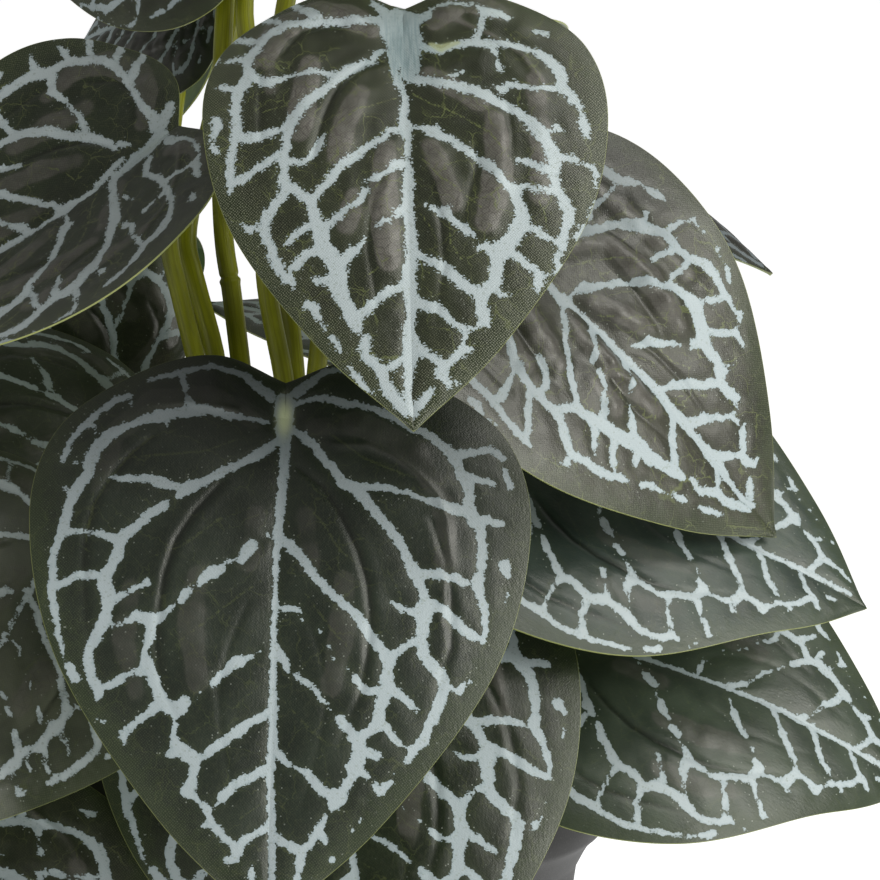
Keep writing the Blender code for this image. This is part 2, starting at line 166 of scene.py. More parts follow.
# The pale veins of the two prints. Semicolons part the chains and commas the points of a chain: how
# far across, how far along and the half-width there, in thousandths of the blade's length. A chain
# of one point is a dot.
PRINT_WIDE = """
0 30 12, 4 80 11, 0 160 10, -4 240 10, -6 300 6, -6 400 6, -5 500 8, 0 600 9, 0 660 11, -2 710 9,
4 800 9, 9 880 8, 12 950 6; 0 -30 22, 0 40 16; -30 -42 12, -79 -79 8, -96 -88 7, -150 -102 6,
-196 -92 7, -238 -79 7, -273 -71 5; -308 -38 5, -342 -25 10, -369 -4 6, -383 12 9, -408 38 8,
-421 58 6, -429 79 7, -438 100 6; -383 20 5, -371 44 4; -208 -83 8, -196 -38 5, -188 -17 8;
-308 -38 5, -306 -8 3; -412 106 6; -431 158 6; -33 10 5, -79 6 6, -108 4 8, -150 -6 9, -183 -6 14,
-225 4 10, -240 8 14, -283 17 9, -317 33 9, -342 46 14, -371 75 14, -383 104 14, -383 129 11,
-406 158 13, -421 196 11, -427 233 12, -438 267 9, -448 308 8, -444 356 11, -444 375 9, -436 413 7,
-428 455 6, -417 488 4; -236 8 12, -233 29 3; -406 510 9, -390 535 11; -346 608 6; -331 619 6;
-208 154 8, -238 146 13, -258 138 9, -292 138 8, -325 142 6, -338 135 6; -360 140 4; -21 54 10,
-46 77 11, -79 96 9, -125 121 10, -158 142 9, -183 152 15, -204 171 8; -229 190 9, -258 208 11,
-279 229 10, -300 246 12, -318 265 13, -317 292 12, -333 321 12, -346 342 13, -333 371 16,
-333 396 12, -342 429 14, -354 454 13, -367 479 10, -367 508 10, -358 538 10, -342 554 13,
-346 583 3; -425 248 8, -388 246 6, -350 252 7, -325 260 10; -442 356 9, -392 335 9, -354 335 10;
-320 378 10, -295 368 4, -283 360 5, -258 348 9; -25 242 6; -54 265 12, -68 280 13, -75 298 8;
-96 298 6; -112 312 9, -130 322 14, -142 330 12, -158 350 4; -177 360 9, -190 380 9; -205 388 4,
-220 408 6, -242 420 14, -275 415 12, -300 427 5, -329 433 6; -246 425 13, -250 462 10, -258 483 6,
-252 508 14, -242 525 12, -229 554 12, -221 579 14, -204 592 12, -183 590 16; -258 520 10,
-279 522 5, -308 540 10, -330 552 6; -221 583 12, -250 604 8, -275 625 8, -294 642 9, -286 660 3;
-190 600 12, -175 578 12; -190 617 6, -194 642 6, -188 660 10, -172 675 14, -150 688 14,
-150 710 9, -154 729 11, -162 748 14, -140 767 5, -121 783 9, -117 797 6, -108 812 8, -92 833 8,
-71 846 8, -60 860 13, -65 870 9, -77 879 9; -185 672 10, -203 680 9; -108 810 6, -129 815 5;
-60 855 9, -38 833 8, -12 817 8, 0 810 8; -33 477 4, -55 488 6, -75 497 14, -90 510 8, -104 522 8,
-121 540 9; -142 558 4, -158 575 3; 0 585 10, -42 612 8, -67 629 12, -92 650 9, -117 670 10,
-129 679 7, -150 688 12; 0 695 12, -38 717 9, -62 729 9, -83 746 10, -94 762 10, -108 775 3;
-33 896 8, -30 915 7; 22 -50 12, 51 -75 9, 72 -96 8, 97 -104 7, 150 -102 6, 196 -92 7, 238 -79 7,
273 -71 5; 22 -29 6, 55 -42 6, 80 -42 8, 118 -33 10, 147 -29 7, 176 -23 7, 197 -17 10, 230 0 8,
255 15 8, 280 21 10, 305 38 9, 334 62 13, 347 83 11, 355 100 10, 368 121 14, 374 142 10,
372 167 14, 380 192 14, 397 212 11, 401 242 10, 401 271 10, 399 300 9, 392 321 14, 401 346 9,
409 375 8, 411 404 7, 409 433 5; 345 63 10, 380 56 9, 413 46 8, 438 62 8; 355 110 10, 380 108 8,
418 117 7; 380 192 10, 413 192 9, 438 196 8; 442 88 6, 455 121 8; 447 280 14, 455 300 6; 453 333 5,
449 354 4; 155 138 10, 197 138 8, 247 146 6, 280 158 5, 305 162 11, 338 175 11, 372 175 12;
13 25 8, 34 33 9, 63 58 10, 84 88 10, 105 108 10, 122 133 12, 147 142 14, 168 167 11, 197 200 10,
218 225 10, 238 250 11, 255 283 10, 268 308 13, 280 333 10, 292 358 10, 288 383 20, 288 410 13,
285 442 12, 292 471 12, 313 492 14, 330 510 12, 334 530 11, 326 554 12, 318 579 12, 305 604 10,
297 633 10, 276 650 10, 268 671 8, 263 680 3; 272 308 11, 313 308 10, 347 312 9, 368 321 10;
295 365 12, 330 379 10, 355 400 11, 380 421 11, 409 433 6; 285 383 10, 247 383 7, 226 367 3;
0 246 10, 22 262 11, 42 283 10, 63 312 9, 88 338 9, 113 362 9, 138 383 9, 163 404 11, 188 440 11,
209 467 11, 222 482 14; 222 480 10, 251 454 7, 272 446 8, 285 440 10; 222 480 12, 220 508 12,
222 533 16, 213 558 14, 207 583 12, 205 608 14, 197 617 12, 180 629 10, 168 646 14, 172 667 15,
163 692 17, 155 717 10, 142 738 10, 134 758 14, 122 767 12; 230 540 10, 255 554 9, 280 579 6;
210 600 10, 238 633 9, 257 650 4; 200 544 9, 180 544 8, 163 529 9, 157 520 6; 180 660 10,
209 671 8; 175 700 10, 188 710 5; 334 520 10, 350 530 5, 363 533 9, 372 522 6; 142 502 4;
115 483 4; 105 462 5; 86 429 5; 51 408 4; 242 700 4; 384 512 4; 392 483 4; 176 790 6; 163 812 5;
126 870 6; 190 755 4; 0 388 7, 26 385 6, 45 390 5; 203 722 6, 213 735 10, 234 717 6; 0 467 11,
13 483 10, 26 508 6; 42 517 5, 72 538 7, 92 562 5, 113 583 4; 130 604 10, 151 625 10, 163 642 12;
0 660 12, 26 685 6, 51 702 5, 72 708 9, 84 725 9, 105 742 11, 130 750 12; 9 829 10, 34 842 9,
63 858 11, 80 842 9, 97 817 10, 107 792 6; 100 820 9, 112 835 6; 63 862 12, 61 885 8, 58 910 7,
45 940 5
"""

PRINT_DENSE = """
-8 -27 22, 0 10 20, 0 47 20, 10 94 12; -70 -88 10, -50 -65 14, -30 -37 20; 30 -37 15, 55 -46 14,
70 -65 8, 90 -74 5, 120 -79 5, 150 -77 7, 170 -74 4; -30 75 10, -20 113 10, -10 141 10, 0 169 10,
0 197 10, -5 225 14, -3 243 20, 3 271 9, 3 309 7, 3 346 10, 3 384 12, 0 421 14, 0 458 16, 3 496 14,
5 533 15, 5 570 16, 0 608 16, -3 645 20, 0 682 16, 0 720 13, -3 757 15, 0 795 22, -5 832 18,
-10 869 12, -12 907 8, -12 935 12, 0 958 12; -40 -32 18, -66 -40 14, -100 -33 11, -150 -32 9,
-200 -33 9, -250 -32 10, -290 -27 14, -320 -12 13, -345 7 14, -360 29 14, -380 52 14, -385 75 13,
-385 99 14, -395 122 18, -410 145 16, -415 178 13, -415 215 13, -415 253 13, -422 290 11,
-430 328 10, -432 356 13, -430 379 12, -435 398 5; -200 -37 10, -224 -55 14, -245 -72 13,
-260 -90 11, -270 -100 8; -305 -40 10, -325 -55 12, -350 -69 9, -385 -69 6; -385 -69 6,
-360 -88 12, -340 -100 10; -385 -69 6, -400 -55 6, -420 -41 10, -435 -18 11, -445 1 10, -455 10 6;
-430 -13 10, -410 -9 9, -380 1 10, -355 10 10; -462 24 6, -465 43 10, -475 57 8; -435 55 6,
-410 52 9, -385 55 11; -460 124 4, -440 130 9, -410 131 12; -385 99 14, -355 117 13, -335 127 12,
-310 117 10, -285 111 6, -255 108 5, -225 101 8, -200 103 9, -175 108 10; -465 211 12, -460 229 14,
-470 248 9, -478 267 5, -470 285 8, -460 300 4; -50 38 5, -74 58 10, -75 71 8, -95 77 10,
-120 89 13, -145 101 13, -165 117 13, -185 136 12, -205 155 12, -225 171 12, -245 187 13,
-260 206 13, -275 227 14, -285 248 15, -290 271 12, -295 295 12, -300 318 13, -300 342 14,
-300 365 13, -298 393 14, -300 412 14; -300 412 14, -310 426 12, -330 449 14, -345 472 14,
-352 496 13, -345 519 12, -335 542 12, -330 566 14, -320 589 13, -305 612 12, -288 631 12,
-280 647 6; -298 393 12, -270 407 14, -250 421 13, -235 440 15, -230 463 15, -225 486 18,
-215 510 20, -210 533 18, -205 556 19, -190 580 22, -175 603 23, -170 626 22, -175 650 22,
-165 673 18, -155 696 16, -145 720 18, -135 738 18, -130 757 11; -415 253 12, -390 265 14,
-360 264 13, -330 257 10, -305 253 9, -285 248 12; -430 374 12, -400 370 12, -375 351 11,
-345 332 11, -320 318 11, -300 309 11; -300 542 6, -280 524 10, -260 510 11, -235 496 12;
-290 603 8, -270 589 12, -250 570 11, -225 561 12; -225 636 10, -200 631 12, -180 626 12;
-250 687 10, -235 696 13, -225 715 10, -220 734 6, -205 752 4; -190 771 8, -180 790 10, -172 804 5;
-150 846 6, -135 865 9, -120 888 7, -100 907 7; -405 482 4, -385 496 11, -370 491 8, -352 496 10;
-10 248 10, -40 257 10, -55 276 8, -80 290 10, -105 307 10, -130 328 10, -155 346 11, -175 365 12,
-190 388 11, -210 407 10, -225 426 10, -235 440 12; -300 332 10, -285 332 10, -255 337 9,
-235 323 9, -220 304 10, -210 285 9, -205 271 6; 0 342 12, -25 346 14, -40 356 10, -55 370 6,
-85 386 10, -100 393 5; -105 416 9, -115 440 10, -130 454 7, -145 458 6, -165 477 10, -195 496 12,
-220 500 14; 0 444 12, -20 468 14, -30 482 6; -50 491 7, -70 500 8, -85 510 4; -105 533 4,
-120 552 6, -135 566 14, -150 580 13, -165 598 14; 0 631 12, -20 654 12, -50 664 10, -70 678 12,
-90 696 12, -110 715 12, -135 724 14; 0 813 12, -20 827 10, -40 841 9, -60 855 10, -75 851 12;
-110 781 10, -115 804 11, -110 823 12, -95 832 11, -80 851 14, -70 869 14, -65 893 14, -50 916 15,
-30 939 14, -20 958 8; 185 -69 6, 200 -51 13, 225 -51 11, 250 -41 9, 265 -40 5; 195 -37 7,
190 -13 8, 180 15 10, 175 24 10; 325 -4 7, 345 1 10, 355 2 5; 40 19 10, 50 33 10, 90 47 10,
130 33 10, 170 27 12, 210 31 10, 250 33 10, 285 40 9, 310 47 8, 335 57 11, 355 71 14, 375 94 16,
385 117 15, 385 141 13, 400 159 13, 415 178 14, 425 192 7, 430 201 4, 435 225 11, 438 248 12,
445 267 7; 215 33 10, 225 52 9, 228 66 4, 230 85 6, 235 97 10, 240 103 4; 110 117 3, 130 113 6,
150 105 4; 225 145 5, 240 155 11, 255 141 9, 285 147 9, 310 154 4, 335 150 7, 360 150 8, 380 150 8;
0 103 14, 30 122 12, 60 127 11, 90 138 13, 130 145 13, 165 155 15, 195 169 16, 220 186 14,
250 201 13, 275 215 12, 295 234 13, 315 253 19, 330 276 18, 345 300 15, 360 323 18, 360 346 18,
355 370 14, 360 393 12, 365 416 13, 380 440 14, 390 463 15, 390 486 15, 380 510 13, 375 533 12,
370 556 12, 365 575 4; 335 267 12, 355 262 6, 370 253 10, 380 262 4; 370 328 12, 400 329 9,
430 339 7, 455 351 6, 463 360 9, 458 379 4, 458 402 3; 455 435 5; 448 454 7; 440 477 5; 270 342 6,
295 346 10, 315 357 8, 340 365 12; 25 248 4, 55 253 8, 70 262 18, 85 276 12, 110 285 10,
130 304 10, 155 318 12, 170 337 6, 185 346 11, 200 360 13, 220 379 10, 235 402 9, 255 421 14,
265 440 14, 275 468 14, 275 491 20, 270 510 22, 255 533 18, 240 556 22, 220 575 25, 210 603 16,
210 626 14, 205 650 15, 185 668 16, 170 687 16, 170 710 16, 175 734 16, 185 748 8; 265 416 10,
290 407 9, 315 416 9, 340 416 10, 360 412 10; 285 510 10, 305 514 8, 325 528 12, 340 538 8,
355 540 8, 370 547 12; 410 528 8, 425 510 9, 435 500 6; 220 575 14, 200 570 14, 185 561 12,
170 564 6; 255 580 10, 275 598 10, 295 612 10, 315 631 12, 310 654 10, 305 668 4; 315 631 8,
335 631 5; 360 575 5, 358 598 6, 365 608 10, 350 617 4; 210 673 8, 235 678 6; 45 449 4, 70 463 8,
90 472 16, 105 491 9, 125 505 9, 140 519 10, 155 533 6, 160 542 3; 10 570 12, 35 584 9, 60 594 13,
80 608 13, 100 626 14, 125 650 13, 150 668 14, 170 678 14; 10 687 14, 35 701 14, 60 710 15,
85 729 10, 105 748 9, 130 762 8, 155 759 5, 170 748 6; 130 762 8, 130 781 9, 127 790 5; 10 799 16,
35 818 12, 60 837 10, 75 851 14, 90 841 9, 110 823 10, 130 809 12, 145 804 6; 75 851 14, 70 869 14,
85 888 12, 95 893 4; 105 888 7; 15 939 13, 35 916 10, 45 907 7
"""

# A wider pale patch round the junction.
JUNCTION_PATCH = "-10 -27 50, 0 10 45, 0 47 40, 20 94 20"
FOLD_MARK = "68 28 3, 92 40 8, 120 30 4, 135 26 2"
WIDE_JUNCTION = ("front_high",)

# Embossed creases of the two prints: across, along in thousandths, then depth in hundredths of
# a millimetre; a ridge has a negative depth.
CREASES_WIDE = """
-260 50 30, -300 85 40, -340 135 45, -370 190 45, -383 250 45, -385 320 40, -375 420 30,
-350 520 10; -120 140 30, -170 200 45, -205 260 50, -225 330 50, -232 400 45, -235 470 40,
-220 550 30, -170 650 10; 30 100 25, 80 140 40, 120 200 50, 155 270 50, 175 330 50, 185 400 45,
180 480 40, 170 550 30, 130 650 10; 100 55 -20, 170 55 -30, 220 75 -35, 270 110 -35, 310 150 -35,
330 200 -30, 335 300 -25, 320 400 -15; -100 -10 -25, -200 -20 -30, -290 -10 -20; 300 200 30,
330 280 40, 345 370 40, 345 450 35, 320 540 20; -60 380 10, -90 460 16, -110 550 16, -100 650 12,
-70 760 5; 60 400 10, 90 480 18, 105 560 18, 90 660 12, 60 780 5
"""
CREASES_DENSE = """
-80 -20 -20, -200 -90 -40, -300 -60 -40, -370 30 -20; -300 50 25, -250 -10 45, -200 -25 45,
-150 -25 40, -100 -5 20; -355 80 25, -355 180 40, -355 280 25; -50 70 20, -100 80 40, -150 120 50,
-180 170 50, -200 220 45, -225 300 40, -230 350 15; 170 300 30, 170 360 40, 160 400 30, 130 500 15;
250 200 25, 255 290 35, 250 380 20; 100 -50 -25, 200 0 -35, 290 60 -30, 340 140 -20; -60 380 20,
-90 460 35, -100 560 35, -80 700 15; 60 400 20, 80 500 35, 85 600 30, 60 740 10
"""

# Broad soft ridges of the two prints, in the same numbers.
SWELLS_WIDE = """
-60 10 40, -150 -30 90, -260 -20 90, -340 50 70, -360 160 40; 60 20 40, 150 10 80, 260 60 80,
320 160 60, 330 300 50; -160 330 50, -170 430 80, -150 540 50; 130 330 50, 130 430 80, 110 540 50;
-290 360 40, -300 460 60, -270 560 30; -50 200 40, -60 300 50; 50 200 40, 60 300 50
"""
SWELLS_DENSE = """
-80 -15 60, -140 -50 100, -220 -60 110, -310 -20 110, -345 60 70, -330 140 30; -230 80 50,
-250 180 90, -260 260 60; -110 160 40, -150 240 70, -170 330 50; -50 300 40, -60 400 90,
-60 500 100, -50 590 60; -130 430 40, -150 500 60; 80 -30 50, 150 -90 90, 230 -60 60; 220 240 50,
225 340 100, 215 420 100, 190 500 60; 60 300 40, 90 380 60, 110 450 50; 320 130 40, 330 330 60,
320 430 50; 60 110 40, 120 150 60, 180 190 50
"""

# Fine yellowish veins that run between the pale ones, in thousandths.
THREADS_WIDE = """
-260 50 3, -300 85 3, -340 135 3, -370 190 3, -383 250 3, -383 300 2; -60 190 2, -120 215 3,
-190 270 3, -260 300 2; -30 330 2, -80 370 3, -150 430 3, -200 470 2; -20 530 2, -80 590 3,
-130 620 2; 30 160 2, 80 210 3, 120 270 3, 160 300 2, 220 320 2; 50 350 2, 110 430 3, 150 470 2;
20 570 2, 80 630 3, 120 660 2; 90 30 2, 160 80 3, 240 110 3, 330 130 2; -90 50 2, -160 80 3,
-250 90 3, -330 100 2; -20 770 2, -60 800 2; 20 770 2, 70 800 2; 210 300 2, 240 350 3, 250 420 2;
-270 480 2, -300 500 3, -340 510 2; 250 560 2, 290 540 2
"""
THREADS_DENSE = """
20 160 3, 60 187 3, 100 206 3, 150 234 3, 200 271 3, 250 337 2; 30 328 2, 60 356 3, 80 384 3,
120 412 3, 150 440 3, 180 468 2; -350 201 2, -250 178 2; -200 271 2, -120 206 3, -20 169 2;
100 458 2, 100 552 3, 130 598 2; -30 350 2, -90 420 3, -150 470 2; -20 560 2, -80 610 3,
-130 650 2; 30 470 2, 60 520 2; -300 130 2, -380 160 2; 250 -10 2, 300 50 3, 330 130 2; 300 420 2,
330 470 3, 340 530 2; -270 330 2, -330 370 3, -390 380 2; 20 600 2, 90 660 3, 130 690 2
"""

# How a blade looks: its print, the brightness of the pale print, the colour of the ground, how much
# the weave, the fine hairs and the painted sheen of the puffs show, how much painted shade darkens
# it near its junction, its mesh size, the size of the print, how much the margin draws in before the
# tip, how far the painted shade reaches and how high the swells are.
Look = namedtuple("Look", "print_kind pale ground finish dim rows columns "
                          "print_scale pinch dim_reach swell", defaults=(1.0, 0.0, 0.45, 1.0))
FINE, MIDDLE, COARSE = (220, 72), (180, 60), (110, 40)
# The ground colours and print brightness differ blade by blade: partly the print's own colours,
# partly painted light and shade.
LOOKS = {
    "front_low": Look("wide", 0.25, (0.012, 0.019, 0.012), (0.30, 0.25, 0.25), 0.72, *FINE),
    "front_high": Look("dense", 0.50, (0.0185, 0.0235, 0.0105), (1.0, 1.0, 1.0), 0.0, *FINE,
                       swell=1.3),
    "right_high": Look("dense", 0.25, (0.028, 0.028, 0.019), (0.30, 0.9, 0.70), 0.75, *MIDDLE,
                       print_scale=0.94, dim_reach=0.5, swell=2.4),
    "right_middle": Look("wide", 0.5, (0.035, 0.052, 0.042), (0.05, 0.15, 0.30), 0.2, *MIDDLE,
                         pinch=0.12),
    "right_low": Look("wide", 0.45, (0.040, 0.055, 0.038), (0.05, 0.15, 0.40), 0.2, *MIDDLE,
                      pinch=0.12),
    "front_under": Look("wide", 0.2, (0.013, 0.019, 0.010), (0.2, 0.3, 0.45), 0.3, *MIDDLE),
    "left_high": Look("dense", 0.6, (0.014, 0.023, 0.009), (0.5, 0.9, 0.60), 0.0, *MIDDLE),
    "left_middle": Look("wide", 0.4, (0.022, 0.031, 0.015), (0.2, 0.3, 0.4), 0.2, *COARSE),
    "left_low": Look("wide", 0.9, (0.088, 0.096, 0.070), (0.2, 0.3, 0.4), 0.2, *COARSE),
    "left_foot": Look("dense", 0.3, (0.024, 0.028, 0.017), (0.3, 0.5, 0.5), 0.2, *COARSE),
    "left_rear": Look("dense", 0.1, (0.012, 0.016, 0.008), (0.2, 0.3, 0.3), 0.2, *COARSE),
    "top_left": Look("dense", 0.1, (0.012, 0.016, 0.007), (0.3, 0.5, 0.5), 0.0, *COARSE),
    "top_left_rear": Look("dense", 0.0, (0.004, 0.007, 0.003), (0.2, 0.3, 0.2), 0.5, *COARSE),
    "right_rear": Look("dense", 0.0, (0.034, 0.031, 0.026), (0.2, 0.2, 0.5), 0.75, *COARSE,
                       dim_reach=4.0),
}
OTHER_LOOK = Look("dense", 0.3, (0.022, 0.028, 0.014), (0.3, 0.5, 0.4), 0.2, *COARSE)
PINCH_PLACE, PINCH_REACH = 0.86, 0.08
YOLK_SIZE = (0.016, 0.038)
YOLK_STRENGTH = {"wide": 1, "dense": 0.3}
BLADE_STEP = 37                 # keeps the noise of one blade apart from that of the next
ALL_BLADES = 900                # more than any blade's step

# The embossing, in mm. Bands tell the material where to paint sheen on what stands out and shade in
# what lies in a groove.
CREASE_STRENGTH = 13            # depth for 1 in the crease lists
SWELL_STRENGTH = {"wide": 8, "dense": 12}
WRINKLE = {"wide": 0.10, "dense": 0.28}
WRINKLE_FADE = 1.2
VEIN_STEPS = ((0.10, 0.7), (0.35, 4.0))         # rises beside a vein and how far they reach
VEIN_DEPTH = 0.2
GROOVE_WIDTH, LIP_SHARE, LIP_PLACE, LIP_WIDTH = 0.95, 0.22, 2.6, 1.5
SWELL_WIDTH, LADDER_SHARE = 3.8, 0.55
BAND_GAIN, BAND_GROOVE_WIDTH, BAND_SOFT, BAND_FLANK, BAND_LADDER = 11, 0.9, 0.45, 0.55, 0.9
FLANK_PLACE, FLANK_GAIN, FLANK_WIDTH = 1.4, 24, 0.9
RELIEF_LIFT = 0.30
RELIEF_FLOOR = -0.45            # keeps the deepest crease clear of the underside
UNDER_STEP = 4                  # the underside has every fourth column only

# The joint ring of a petiole: its height, the lip and the neck, in mm, and its extra rings, counted
# in rings of the frame's petiole.
JOINTS = {"top_rear": 301}
JOINT_STEPS = np.linspace(-0.2, 0.2, 17)
LIP_RISE, LIP_ABOVE, LIP_REACH = 0.10, 1.0, 1.0
NECK_CUT, NECK_REACH = 0.16, 0.6

CRUMBS, CRUMB_VERTICES, CRUMB_FIELD = 420, 42, 70

FLOOR_SIZE = 14
AIR_STRENGTH = 0.24
AIM = (0, 0, 0.25)
LIGHTS = (("key_light", (1.5, -1.0, 1.05), (0.9, 0.9), 21),
          ("top_light", (0.95, -0.35, 1.8), (1.0, 0.7), 10))
CAMERA_DISTANCE = 1.6
CAMERA_PITCH = 8
CAMERA_TARGET = (0.039, 0, 0.254)
CAMERA_LENS = 225.9
SENSOR_WIDTH = 36


# ---------------------------------------------------------------- materials

class Nodes:
    """Makes the nodes of one material. A value is a number, a colour or another node's socket."""

    def __init__(self, name):
        self.material = bpy.data.materials.new(name)
        self.material.use_nodes = True
        self.tree = self.material.node_tree

    def plug(self, sockets, values):
        for key, value in dict(values).items():
            if isinstance(value, bpy.types.NodeSocket):
                self.tree.links.new(value, sockets[key])
            else:
                sockets[key].default_value = value

    def shade(self, values):
        """Sets the shader's sockets and gives the finished material."""
        self.plug(self.tree.nodes["Principled BSDF"].inputs, values)
        return self.material

    def add(self, kind, inputs=(), **settings):
        """New node; inputs pairs a socket's name or number with a value."""
        made = self.tree.nodes.new("ShaderNode" + kind)
        for key, value in settings.items():
            setattr(made, key, value)
        self.plug(made.inputs, inputs)
        return made

    def attribute(self, name, output="Fac"):
        return self.add("Attribute", attribute_name=name).outputs[output]

    def place(self):
        """Place on the object, in metres."""
        return self.add("TexCoord").outputs["Object"]

    def parts(self, vector):
        return self.add("SeparateXYZ", {0: vector}).outputs

    def calc(self, operation, first, second=0.0):
        return self.add("Math", {0: first, 1: second}, operation=operation).outputs[0]

    def times(self, *values):
        return functools.reduce(lambda first, second: self.calc("MULTIPLY", first, second), values)

    def plus(self, *values):
        return functools.reduce(lambda first, second: self.calc("ADD", first, second), values)

    def scaled(self, vector, factors):
        return self.add("VectorMath", {0: vector, 1: factors}, operation="MULTIPLY").outputs[0]

    def moved(self, vector, scale, detail, reach):
        """Vector moved about by a noise, by up to reach across and along."""
        drift = self.add("TexNoise", {"Vector": vector, "Scale": scale, "Detail": detail})
        sockets = {0: drift.outputs["Color"], 1: (reach, reach, 0), 2: vector}
        return self.add("VectorMath", sockets, operation="MULTIPLY_ADD").outputs[0]

    def span(self, value, low, high, out_low=0.0, out_high=1.0):
        """Value from low to high made to run smoothly from out_low to out_high."""
        sockets = {"Value": value, "From Min": low, "From Max": high,
                   "To Min": out_low, "To Max": out_high}
        return self.add("MapRange", sockets, interpolation_type="SMOOTHSTEP").outputs["Result"]

    def blend(self, factor, first, second):
        """Colour between two; each is a socket or three numbers."""
        first, second = (value if isinstance(value, bpy.types.NodeSocket) else (*value, 1)
                         for value in (first, second))
        return self.add("Mix", {0: factor, 6: first, 7: second}, data_type="RGBA").outputs[2]

    def layered(self, colour, *layers):
        """Colour with layers over it, each a factor and a colour."""
        for factor, layer in layers:
            colour = self.blend(factor, colour, layer)
        return colour

    def cells(self, vector, across, along):
        """Random number of each cell of that size; the third number has no say."""
        size = {0: vector, 1: (across, along, ALL_BLADES)}
        snapped = self.add("VectorMath", size, operation="SNAP").outputs[0]
        return self.add("TexWhiteNoise", {"Vector": snapped}, noise_dimensions="3D").outputs["Value"]

    def net(self, vector, scale):
        """Distance to the walls between random cells."""
        sockets = {"Vector": vector, "Scale": scale}
        return self.add("TexVoronoi", sockets, feature="DISTANCE_TO_EDGE").outputs[0]

    def clouds(self, vector, scale, detail=3.0, stretch=(1, 1, 1)):
        sockets = {"Vector": self.scaled(vector, stretch), "Scale": scale, "Detail": detail}
        return self.add("TexNoise", sockets).outputs[0]

    def bumped(self, *layers):
        """Normal bent by layers, each a height, a strength and a distance."""
        normal = {}
        for height, strength, distance in layers:
            sockets = {"Height": height, "Strength": strength, "Distance": distance}
            normal = {"Normal": self.add("Bump", {**sockets, **normal}).outputs[0]}
        return normal


